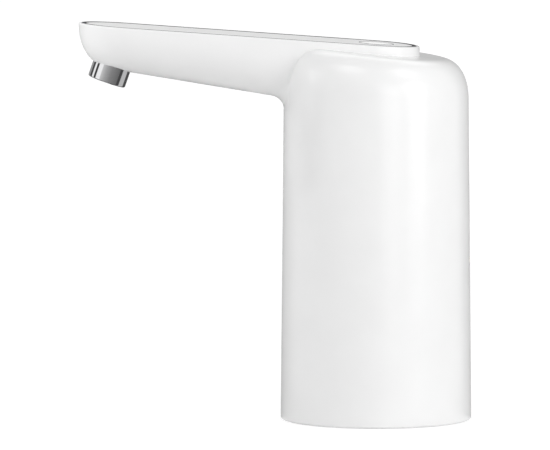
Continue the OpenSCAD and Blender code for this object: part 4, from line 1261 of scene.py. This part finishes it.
class Repeats:
    """Geometry Nodes trees for what repeats round a circle."""

    KINDS = {int: "Int", float: "Float", bpy.types.Object: "Object", bpy.types.Material: "Material"}
    DRILL_SIDES = 20

    @classmethod
    def _tree(cls, name: str, values: dict[str, Any]) -> tuple[Tree, Any]:
        """Open a geometry tree with a mesh in, an input for each value and a mesh out.

        Args:
            name: Name of the tree.
            values: Value of each named input.

        Returns:
            The tree and the sockets of its inputs.
        """
        group = bpy.data.node_groups.new(name, "GeometryNodeTree")
        kinds = {label: cls.KINDS[type(value)] for label, value in values.items()}
        for label, kind in {"Geometry": "Geometry", **kinds}.items():
            group.interface.new_socket(label, in_out="INPUT", socket_type=f"NodeSocket{kind}")
        group.interface.new_socket("Geometry", in_out="OUTPUT", socket_type="NodeSocketGeometry")
        tree = Tree(group)
        return tree, tree.node("NodeGroupInput").outputs

    @staticmethod
    def _raised(tree: Tree, points: Any, height: Any) -> Any:
        """Lift points of a tree to a height.

        Args:
            tree: The geometry tree.
            points: Socket of the points.
            height: Socket of the height.

        Returns:
            Socket of the lifted points.
        """
        lift = tree.node("ShaderNodeCombineXYZ", {"Z": height})
        moved = {"Geometry": points, "Offset": lift.outputs[0]}
        return tree.node("GeometryNodeSetPosition", moved).outputs[0]

    @staticmethod
    def _run(thing: bpy.types.Object, tree: Tree, shape: Any, finish: Any, values: dict[str, Any]) -> None:
        """Dress what a tree makes, run the tree on an object and keep the plain mesh.

        Args:
            thing: The object.
            tree: The geometry tree.
            shape: Socket of what the tree makes.
            finish: Socket of its material.
            values: Value of each named input.
        """
        whole = tree.node("GeometryNodeRealizeInstances", {"Geometry": shape})
        dressed = tree.node("GeometryNodeSetMaterial", {"Geometry": whole.outputs[0], "Material": finish})
        tree.node("NodeGroupOutput", {0: dressed.outputs[0]})
        step = thing.modifiers.new(tree.tree.name, "NODES")
        step.node_group = tree.tree
        for item in tree.tree.interface.items_tree:
            if item.in_out == "INPUT" and item.name in values:
                step[item.identifier] = values[item.name]
        Mesh.bake(thing)

    @classmethod
    def perforate(
        cls,
        disc: bpy.types.Object,
        count: int,
        ring_r: float,
        hole_r: float,
        reach: Pair,
        finish: bpy.types.Material,
    ) -> None:
        """Pierce a disc on the Z axis with a centre hole and a ring of holes.

        Args:
            disc: The disc.
            count: Number of holes in the ring.
            ring_r: Radius of the ring.
            hole_r: Radius of a hole.
            reach: Height of the holes' middle, and their length.
            finish: Material of the pierced disc.
        """
        values = {
            "Count": count,
            "Ring Radius": ring_r * MM,
            "Hole Radius": hole_r * MM,
            "Middle": reach[0] * MM,
            "Depth": reach[1] * MM,
            "Finish": finish,
        }
        tree, take = cls._tree("perforations", values)
        ring = tree.node("GeometryNodeMeshCircle", {"Vertices": take["Count"], "Radius": take["Ring Radius"]})
        centre = tree.node("GeometryNodeMeshLine", {"Count": 1})
        points = tree.node("GeometryNodeJoinGeometry")
        for made in (ring, centre):
            tree.join(made.outputs[0], points.inputs[0])
        size = {"Vertices": cls.DRILL_SIDES, "Radius": take["Hole Radius"], "Depth": take["Depth"]}
        drill = tree.node("GeometryNodeMeshCylinder", size)
        raised = cls._raised(tree, points.outputs[0], take["Middle"])
        copies = {"Points": raised, "Instance": drill.outputs["Mesh"]}
        set_out = tree.node("GeometryNodeInstanceOnPoints", copies)
        drills = tree.node("GeometryNodeRealizeInstances", {"Geometry": set_out.outputs[0]})
        meshes = {"Mesh 1": take["Geometry"], "Mesh 2": drills.outputs[0]}
        pierced = tree.node("GeometryNodeMeshBoolean", meshes, operation="DIFFERENCE")
        cls._run(disc, tree, pierced.outputs[0], take["Finish"], values)

    @classmethod
    def ring(
        cls,
        name: str,
        pattern: bpy.types.Object,
        count: int,
        pitch_r: float,
        height: float,
        finish: bpy.types.Material,
    ) -> bpy.types.Object:
        """Set copies of a pattern out on a circle, the first one on the X axis.

        Args:
            name: Name of the piece that holds the copies.
            pattern: The object that is copied, dropped afterwards.
            count: Number of copies.
            pitch_r: Radius of the circle.
            height: Height of the circle.
            finish: Material of the copies.

        Returns:
            One plain mesh with all the copies.
        """
        values = {
            "Pattern": pattern,
            "Count": count,
            "Pitch Radius": pitch_r * MM,
            "Height": height * MM,
            "Finish": finish,
        }
        tree, take = cls._tree("ring_of_copies", values)
        size = {"Vertices": take["Count"], "Radius": take["Pitch Radius"]}
        circle = tree.node("GeometryNodeMeshCircle", size)
        raised = cls._raised(tree, circle.outputs[0], take["Height"])
        copied = tree.node("GeometryNodeObjectInfo", {"Object": take["Pattern"]})
        number = tree.node("GeometryNodeInputIndex")
        share = tree.calc("DIVIDE", 2 * math.pi, take["Count"])
        turn = tree.node("ShaderNodeCombineXYZ", {"Z": tree.calc("MULTIPLY", number.outputs[0], share)})
        facing = tree.node("FunctionNodeEulerToRotation", {0: turn.outputs[0]})
        copies = {"Points": raised, "Instance": copied.outputs["Geometry"], "Rotation": facing.outputs[0]}
        set_out = tree.node("GeometryNodeInstanceOnPoints", copies)
        made = Mesh.add(name, bpy.data.meshes.new(name))
        cls._run(made, tree, set_out.outputs[0], take["Finish"], values)
        bpy.data.objects.remove(pattern)
        return made


@dataclass
class NeckSocket:
    """Collar for the jug's neck, with its gasket, screws and suction spigot."""

    neck_r: float = 27.75
    neck_depth: float = 26.0
    wall: float = 2.6
    outer_r: float = 34.42
    skirt: float = 1.8
    foot_h: float = 2.0
    plate_z: float = 29.0
    plate_top: float = 32.0
    well_r: float = 11.4
    well_wall: float = 2.0
    roof_z: float = 43.6
    roof_top: float = 46.1
    gasket_r: float = 28.95
    gasket_w: float = 10.0
    fitting_r: float = 4.8
    flange_r: float = 6.6
    flange_t: float = 1.6
    seal_t: float = 1.0
    spigot_r: float = 4.0
    spigot_len: float = 13.0
    bore_r: float = 1.8
    barb_r: float = 2.8
    barb_top: float = 55.95
    barb_z: float = 49.2
    screw_pitch: float = 15.1
    screw_r: float = 1.1
    screw_len: float = 7.0
    head_r: float = 2.3
    head_h: float = 1.6
    clearance: float = 0.1
    seat_gap: float = 0.05
    gasket_edge: float = 0.5
    lips: int = 3
    lip_start: float = 1.4
    lip_pitch: float = 2.6
    lip_h: float = 0.5
    lip: tuple[Corner, ...] = ((0, 0.5, 0.15), (0.35, 0, 0.2), (0.95, 0, 0.2), (1.3, 0.5, 0.15))
    screw_count: int = 3
    screw_neck: float = 0.1
    screw_tip: Pair = (0.4, 0.2)
    threads: int = 9
    thread_start: float = 0.6
    thread_pitch: float = 0.62
    thread: tuple[Pair, ...] = ((-0.25, 0), (0, 0.2), (0, 0.28), (-0.25, 0.48))
    recess_half: Pair = (0.62, 0.28)
    recess_depth: float = 0.55
    recess_cut: float = 0.5
    ribs: int = 3
    rib_start: float = 0.6
    rib_pitch: float = 2.6
    rib_h: float = 0.35
    rib_ends: Pair = (1.9, 2.0)
    spigot_taper: float = 0.45

    def collar(self) -> bpy.types.Object:
        """Make the collar as one turned section with rounded edges.

        Returns:
            The dressed collar.
        """
        inner, inside = self.well_r - self.well_wall, self.neck_r + self.wall
        skirt = self.outer_r - self.skirt
        fitting, seat = self.fitting_r + self.clearance, self.gasket_r + self.clearance
        line = Line.fillet(
            [
                (self.neck_r, 0, 0.5),
                (self.outer_r, 0, 0.3),
                (self.outer_r, self.plate_z, 0.2),
                (skirt, self.plate_z, 0.2),
                (skirt, self.foot_h, 0.3),
                (inside, self.foot_h, 0.3),
                (inside, self.plate_top, 0.4),
                (self.well_r, self.plate_top, 0.4),
                (self.well_r, self.roof_top, 0.4),
                (fitting, self.roof_top, 0),
                (fitting, self.roof_z, 0),
                (inner, self.roof_z, 0.5),
                (inner, self.plate_z, 0.5),
                (seat, self.plate_z, 0),
                (seat, self.neck_depth, 0.1),
                (self.neck_r, self.neck_depth, 0.1),
            ]
        )
        collar = Mesh.lathe("neck_collar", line, turns=160)
        Mesh.shade(collar)
        Finishes.WHITE_MATTE.dress(collar)
        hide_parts("bottle_collar")
        return collar

    def gasket(self) -> bpy.types.Object:
        """Make the gasket, with three sealing lips on the face that meets the jug.

        Returns:
            The dressed gasket.
        """
        low, high, edge = self.neck_depth, self.plate_z - self.seat_gap, self.gasket_r
        hole, step = edge - self.gasket_w, low + self.lip_h
        corners: list[Corner] = [(hole, high, 0.3), (hole, step, 0.3)]
        for k in range(self.lips):
            start = hole + self.lip_start + k * self.lip_pitch
            corners += [(start + along, low + up, radius) for along, up, radius in self.lip]
        corners += [(edge - self.gasket_edge, step, 0.1), (edge, step, 0.2), (edge, high, 0.3)]
        gasket = Mesh.lathe("neck_gasket_ring", Line.fillet(corners), turns=128)
        Mesh.shade(gasket)
        Finishes.SILICONE.dress(gasket)
        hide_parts("neck_gasket")
        return gasket

    def screws(self) -> bpy.types.Object:
        """Make the three screws that hold the collar to the frame inside.

        Returns:
            The dressed screws.
        """
        thread: list[Pair] = []
        for k in range(self.threads):
            start = self.thread_start + k * self.thread_pitch
            thread += [(self.screw_r + out, start + up) for out, up in self.thread]
        top = -self.head_h
        head = Line.fillet(
            [
                (0, top, 0),
                (self.head_r, top, 0.75),
                (self.head_r, 0, 0.1),
                (self.screw_r - self.screw_neck, 0, 0),
            ],
            closed=False,
        )
        thin, short = self.screw_tip
        tip = [(self.screw_r - thin, self.screw_len - short), (0, self.screw_len)]
        screw = Mesh.lathe("screw_pattern", [*head, *thread, *tip], turns=24)
        wide, thin = self.head_r * self.recess_half[0], self.recess_half[1]
        ring = np.array([(-wide, -thin), (wide, -thin), (wide, thin), (-wide, thin)])
        levels = (top - self.recess_cut, top + self.head_h * self.recess_depth)
        ends = [np.column_stack([ring, np.full(4, z)]) for z in levels]
        for turn in (0.0, QUARTER):
            Mesh.work(screw, Mesh.stack("recess", ends, False, Matrix.Rotation(turn, 4, "Z")), Cut.TAKE)
        height, steel = self.plate_z - self.seat_gap, Finishes.SCREW_STEEL.material()
        screws = Repeats.ring("collar_screws", screw, self.screw_count, self.screw_pitch, height, steel)
        Mesh.shade(screws)
        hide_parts("base_screws")
        return screws

    def spigot(self) -> bpy.types.Object:
        """Make the suction spigot, ribbed to hold its hose.

        Returns:
            The dressed spigot.
        """
        flange = self.roof_z - self.seal_t - self.flange_t
        foot = flange - self.spigot_len
        corners: list[Corner] = [(self.bore_r, foot, 0.3), (self.spigot_r - self.spigot_taper, foot, 0.3)]
        root, (crest, end) = self.spigot_r - self.rib_h, self.rib_ends
        for k in range(self.ribs):
            low = foot + self.rib_start + k * self.rib_pitch
            corners += [(self.spigot_r, low + crest, 0.12), (root, low + end, 0.1)]
        corners += [
            (root, flange, 0.3),
            (self.flange_r, flange, 0.3),
            (self.flange_r, flange + self.flange_t, 0.2),
            (self.fitting_r, flange + self.flange_t, 0.1),
            (self.fitting_r, self.barb_z, 0.3),
            (self.barb_r, self.barb_z, 0.1),
            (self.barb_r, self.barb_top, 0.3),
            (self.bore_r, self.barb_top, 0.2),
        ]
        spigot = Mesh.lathe("suction_spigot", Line.fillet(corners), turns=72)
        Mesh.shade(spigot)
        Finishes.IVORY_NYLON.dress(spigot)
        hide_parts("inlet_fitting")
        return spigot

    def build(self) -> list[bpy.types.Object]:
        """Make the socket's pieces and seat them on the frame.

        Returns:
            The finished pieces.
        """
        made = [self.collar(), self.gasket(), self.screws(), self.spigot()]
        for piece in made:
            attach(piece, Body.FRAME.value)
        return made


@dataclass
class ChargingSocket:
    """Charging socket in the back of the body."""

    width: float = 8.9
    height: float = 3.2
    z: float = 62.0
    face: float = 36.3
    back: float = 25.655
    wall: float = 0.4
    gap: float = 0.3
    tongue_w: float = 6.6
    tongue_t: float = 0.7
    tongue_r: float = 0.15
    tongue_root: float = 1.0
    tongue_edge: float = 1.3
    tongue_tip: float = 1.1
    edge_run: float = 0.12
    edge_in: float = 0.16
    floor_t: float = 2.0
    slot_reach: float = 5.0

    def outline(self, width: float, height: float, x: float, steps: int = 10) -> np.ndarray:
        """Outline with round ends, square to X.

        Args:
            width: Width along Y.
            height: Height along Z.
            x: Place along X.
            steps: Straight pieces in a quarter of an end.

        Returns:
            One row for each point.
        """
        half, run = height / 2, (width - height) / 2
        turn = np.linspace(-QUARTER, QUARTER, 2 * steps + 1)
        right = np.stack([run + half * np.cos(turn), half * np.sin(turn)], 1)
        line = np.concatenate([right, -right])
        return np.column_stack([np.full(len(line), x), line[:, 0], line[:, 1] + self.z])

    def slot(self, base_r: float) -> bpy.types.Object:
        """Solid of the slot that the housing has for the socket.

        Args:
            base_r: Radius of the body at its foot.

        Returns:
            The new object.
        """
        wide, high = self.width + 2 * self.gap, self.height + 2 * self.gap
        ends = [self.outline(wide, high, x) for x in (base_r - self.slot_reach, base_r + self.slot_reach)]
        return Mesh.stack("charging_slot", ends, False, Matrix())

    def build(self) -> bpy.types.Object:
        """Make the metal sleeve with the tongue inside and dress them.

        Returns:
            The finished piece.
        """
        thin, bevel, edge = 2 * self.wall, self.edge_in, self.face - self.edge_run
        w, h = self.width, self.height
        rings = [
            self.outline(w, h, self.back),
            self.outline(w, h, edge),
            self.outline(w - bevel, h - bevel, self.face),
            self.outline(w - thin + bevel, h - thin + bevel, self.face),
            self.outline(w - thin, h - thin, edge),
            self.outline(w - thin, h - thin, self.back + self.floor_t),
        ]
        shell = Mesh.stack("charging_sleeve", rings, False, Matrix())
        Mesh.shade(shell)
        Finishes.NICKEL.dress(shell)
        rings, r = [], self.tongue_r
        for x, shrink in (
            (self.back + self.tongue_root, 0.0),
            (self.face - self.tongue_edge, 0.0),
            (self.face - self.tongue_tip, r),
        ):
            y, z = self.tongue_w / 2 - shrink, self.tongue_t / 2 - shrink
            line = np.array(Line.fillet([(-y, -z, r), (y, -z, r), (y, z, r), (-y, z, r)], steps=3))
            rings.append(np.column_stack([np.full(len(line), x), line[:, 0], line[:, 1] + self.z]))
        tongue = Mesh.stack("charging_tongue", rings, False, Matrix())
        Mesh.shade(tongue)
        Finishes.BLACK_PLASTIC.dress(tongue)
        for piece in (shell, tongue):
            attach(piece, Body.FRAME.value)
        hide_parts("usb_socket")
        return shell


@dataclass
class InnerWorks:
    """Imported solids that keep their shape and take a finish."""

    nodes: dict[str, bpy.types.Object]
    wears: dict[Finish, tuple[str, ...]] = field(
        default_factory=lambda: {
            Finishes.IVORY_NYLON: ("nozzle_nut", "inlet_nut", "eccentric", "wobble_plate"),
            Finishes.WHITE_MATTE: ("nozzle_elbow", "valve_plate", "pump_cover"),
            Finishes.BLACK_RUBBER: ("nozzle_o_ring", "inlet_seal", "pump_cushion"),
            Finishes.FRAME_GREY: ("chassis", "upper_bracket", "pump_body"),
            Finishes.SCREW_STEEL: (
                *("chassis_screws", "bracket_screws", "switch_screws", "motor_screws", "pump_screws"),
                *("motor_shaft", "crank_pin"),
            ),
            Finishes.CELL_WRAP: ("battery_cell",),
            Finishes.NICKEL: ("battery_tabs", "motor_terminals"),
            Finishes.LEAD_SHEATH: ("battery_leads", "switch_leads", "motor_leads"),
            Finishes.BOARD_GREEN: ("main_board", "switch_board"),
            Finishes.BLACK_PLASTIC: ("board_components", "tact_switch", "switch_plunger", "motor_end_cap"),
            Finishes.CAN_STEEL: ("motor_can",),
            Finishes.FERRITE: ("motor_magnets",),
            Finishes.BRONZE: ("motor_bushes",),
            Finishes.COPPER: ("motor_brushes", "armature_windings", "commutator"),
            Finishes.LAMINATION: ("armature",),
            Finishes.SILICONE: ("diaphragm", "valve_flaps", "inlet_hose", "outlet_hose"),
        }
    )

    def dress(self) -> None:
        """Give each kept solid its finish."""
        for finish, names in self.wears.items():
            for name in names:
                finish.dress(self.nodes[name])


@dataclass(frozen=True)
class Lamp:
    """One soft box, aimed at the middle of the pump. Lengths are in metres."""

    name: str
    azimuth: float
    elevation: float
    distance: float
    width: float
    height: float
    watts: float
    mirrored: bool = True

    def build(self, aim: Sequence[float]) -> None:
        """Hang the lamp.

        Args:
            aim: Point that it faces.
        """
        light = bpy.data.lights.new(self.name, "AREA")
        light.shape, light.energy = "RECTANGLE", self.watts
        light.size, light.size_y = self.width, self.height
        lamp = Mesh.add(self.name, light)
        lamp.matrix_world = Studio.facing(self.azimuth, self.elevation, self.distance, aim)
        lamp.visible_camera, lamp.visible_glossy = False, self.mirrored


@dataclass(frozen=True)
class Card:
    """One dark card behind the body, which only mirrors see. Lengths are in metres."""

    name: str
    place: Colour
    azimuth: float
    elevation: float
    width: float
    height: float
    tone: float

    def build(self) -> None:
        """Set the card up."""
        card = Mesh.sheet(self.name, self.width, self.height)
        card.matrix_world = Studio.facing(self.azimuth, self.elevation, 0, self.place)
        Studio.glow(card, self.tone)


@dataclass
class NozzleScreen:
    """Ring of grey cards round the nozzle, which only mirrors see and which gives the chrome its bands."""

    nozzle: Nozzle
    radius: float = 60.0
    low: float = -26.0
    high: float = 8.0
    foot_r: float = 9.0
    foot: float = -34.0
    foot_tone: float = 0.1
    attribute: str = "tone"
    tones: tuple[Pair, ...] = (
        (-180, 0.34),
        (-126, 0.36),
        (-121, 0.07),
        (-104, 0.07),
        (-101, 1.0),
        (-89, 1.0),
        (-86, 0.06),
        (-73, 0.06),
        (-70, 1.0),
        (-47, 1.0),
        (-42, 0.62),
        (-20, 0.42),
        (10, 0.26),
        (55, 0.16),
        (60, 0.07),
        (74, 0.07),
        (78, 0.55),
        (110, 0.55),
        (114, 0.08),
        (180, 0.08),
    )

    def build(self) -> None:
        """Hang the ring, with its tone kept at each of its points."""
        angle = np.radians(np.arange(-180, 180, 1.0))
        tone = np.interp(np.degrees(angle), [a for a, _ in self.tones], [t for _, t in self.tones])
        points = np.stack(
            [
                np.column_stack([r * np.sin(angle), -r * np.cos(angle), np.full(len(angle), z)])
                for r, z in ((self.foot_r, self.foot), (self.radius, self.low), (self.radius, self.high))
            ]
        )
        faces = Mesh.grid_faces(len(points), len(angle), False, True)
        ring = Mesh.piece("nozzle_screen", points, faces, self.nozzle.place())
        shade = ring.data.attributes.new(self.attribute, "FLOAT", "POINT")
        tones = np.concatenate([np.full(len(angle), self.foot_tone), tone, tone])
        shade.data.foreach_set("value", tones.astype(np.float32))
        Studio.glow(ring, self.attribute)


@dataclass
class Studio:
    """Camera, floor, background and lamps. Lengths are in metres."""

    camera_place: Colour = (-0.0392, -3.5, 0.4031)
    camera_pitch: float = 84.649
    lens: float = 593.58
    aim: Colour = (-0.03, 0.0, 0.09)
    ambient: float = 0.35
    sensor: float = 36.0
    clip: Pair = (0.1, 60.0)
    floor_half: float = 6.0
    floor_drop: float = 0.0002
    floor_fade: Pair = (0.3, 1.2)
    floor_white: Pair = (0.6, 0.74)
    floor_tones: Pair = (0.84, 0.86)
    floor_speck: float = 40.0
    floor_glow: float = 1.3
    lamps: tuple[Lamp, ...] = (
        Lamp("front_strip", 19, 5, 1.6, 0.6, 0.6, 3.6),
        Lamp("right_strip", 52, 11, 1.6, 0.6, 0.75, 6.8),
        Lamp("left_strip", -86, 12, 1.6, 0.5, 0.9, 1.2),
        Lamp("high_right_box", 55, 48, 1.6, 0.7, 0.6, 4.2),
        Lamp("high_left_box", -36, 48, 1.6, 0.8, 0.6, 4.1),
        Lamp("back_box", 175, 54, 1.5, 1.3, 0.7, 3.8),
        Lamp("spout_box", -84, 18.6, 0.313, 0.09, 0.09, 0.2, False),
    )
    cards: tuple[Card, ...] = (
        Card("left_card", (-0.0566, 0.0699, 0.069), -141, 0, 0.115, 0.138, 0.25),
        Card("right_card", (0.0566, 0.0699, 0.1), 141, 0, 0.115, 0.2, 0.25),
        Card("floor_card", (0.0, 0.055, 0.0001), 180, 90, 0.22, 0.11, 0.25),
    )

    @staticmethod
    def facing(azimuth: float, elevation: float, distance: float, aim: Sequence[float]) -> Matrix:
        """Place of something that hangs round the pump and looks at it.

        Args:
            azimuth: Degrees round from the camera's side, positive towards +X.
            elevation: Degrees above the horizon.
            distance: Distance from the point that it looks at.
            aim: That point.

        Returns:
            The matrix of the object.
        """
        a, e = math.radians(azimuth), math.radians(elevation)
        back = (math.sin(a) * math.cos(e), -math.cos(a) * math.cos(e), math.sin(e))
        turn = Matrix.Rotation(a, 4, "Z") @ Matrix.Rotation(QUARTER - e, 4, "X")
        return Matrix.Translation([p + distance * b for p, b in zip(aim, back)]) @ turn

    @staticmethod
    def glow(thing: bpy.types.Object, tone: float | str) -> None:
        """Make a card or screen glow, for mirrors only.

        Args:
            thing: The card or screen.
            tone: Strength of its glow, or the name of the attribute that holds it.
        """
        thing.visible_camera = thing.visible_shadow = thing.visible_diffuse = False
        cloth = bpy.data.materials.new(thing.name)
        tree = Tree.fresh(cloth)
        strength: Any = tone
        if isinstance(tone, str):
            strength = tree.node("ShaderNodeAttribute", attribute_name=tone).outputs["Fac"]
        light = tree.node("ShaderNodeEmission", {"Color": WHITE, "Strength": strength})
        tree.node("ShaderNodeOutputMaterial", {"Surface": light.outputs[0]})
        thing.data.materials.append(cloth)

    def camera(self) -> None:
        """Set the camera where the photograph was taken from."""
        data = bpy.data.cameras.new("camera")
        data.sensor_width, data.sensor_fit, data.lens = self.sensor, "HORIZONTAL", self.lens
        data.clip_start, data.clip_end = self.clip
        camera = Mesh.add("camera", data)
        camera.location = self.camera_place
        camera.rotation_euler = (math.radians(self.camera_pitch), 0, 0)
        bpy.context.scene.camera = camera

    def world(self) -> None:
        """White background for what is seen and mirrored, softer light for the rest."""
        world = bpy.data.worlds.new("studio")
        tree = Tree.fresh(world)
        soft = tree.node("ShaderNodeBackground", {"Color": WHITE, "Strength": self.ambient})
        white = tree.node("ShaderNodeBackground", {"Color": WHITE, "Strength": 1.0})
        mix = tree.node("ShaderNodeMixShader", {0: tree.seen(), 1: soft.outputs[0], 2: white.outputs[0]})
        tree.node("ShaderNodeOutputWorld", {"Surface": mix.outputs[0]})
        bpy.context.scene.world = world

    def floor(self) -> None:
        """Pale floor that shows white to the camera and keeps the pump's shadow."""
        floor = Mesh.sheet("studio_floor", 2 * self.floor_half, 2 * self.floor_half)
        floor.location.z = -self.floor_drop
        paint = bpy.data.materials.new("floor_paint")
        tree = Tree.fresh(paint)
        place = tree.node("ShaderNodeTexCoord").outputs["Object"]
        away = tree.node("ShaderNodeVectorMath", {0: place}, operation="LENGTH")
        (near, far), (low, high) = self.floor_fade, self.floor_white
        ramp = {"From Min": near, "From Max": far, "To Min": low, "To Max": high}
        white = tree.node("ShaderNodeMapRange", {"Value": away.outputs["Value"], **ramp})
        share = tree.calc("MULTIPLY", tree.seen(), white.outputs["Result"])
        speck = tree.node("ShaderNodeTexNoise", {"Vector": place, "Scale": self.floor_speck})
        dark, pale = ((*grey(tone), 1) for tone in self.floor_tones)
        tone = tree.node("ShaderNodeMix", {0: speck.outputs[0], 6: dark, 7: pale}, data_type="RGBA")
        matte = tree.node("ShaderNodeBsdfDiffuse", {"Color": tone.outputs[2]})
        light = tree.node("ShaderNodeEmission", {"Color": WHITE, "Strength": self.floor_glow})
        mix = tree.node("ShaderNodeMixShader", {0: share, 1: matte.outputs[0], 2: light.outputs[0]})
        tree.node("ShaderNodeOutputMaterial", {"Surface": mix.outputs[0]})
        floor.data.materials.append(paint)

    def build(self) -> None:
        """Set up everything around the pump."""
        bpy.context.scene.view_settings.view_transform = "Standard"
        self.camera()
        self.world()
        self.floor()
        for lamp in self.lamps:
            lamp.build(self.aim)
        for card in self.cards:
            card.build()


def clear_scene() -> None:
    """Empty the start-up scene."""
    for thing in list(bpy.data.objects):
        bpy.data.objects.remove(thing)


def main() -> None:
    """Load the frame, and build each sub-assembly and the studio."""
    logging.basicConfig(level=logging.INFO, format="%(name)s: %(message)s")
    clear_scene()
    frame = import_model()
    Studio().build()
    rim = Rim()
    nozzle, charging = Nozzle(), ChargingSocket()
    made = [Housing(rim).build(nozzle, charging)]
    made += TopPanel(rim).build()
    made.append(PushButton(rim).build())
    made += nozzle.build()
    made += NeckSocket().build()
    made.append(charging.build())
    NozzleScreen(nozzle).build()
    InnerWorks(frame["nodes"]).dress()
    for piece in made:
        LOG.info("%s: %d faces", piece.name, len(piece.data.polygons))


if __name__ == "__main__":
    main()
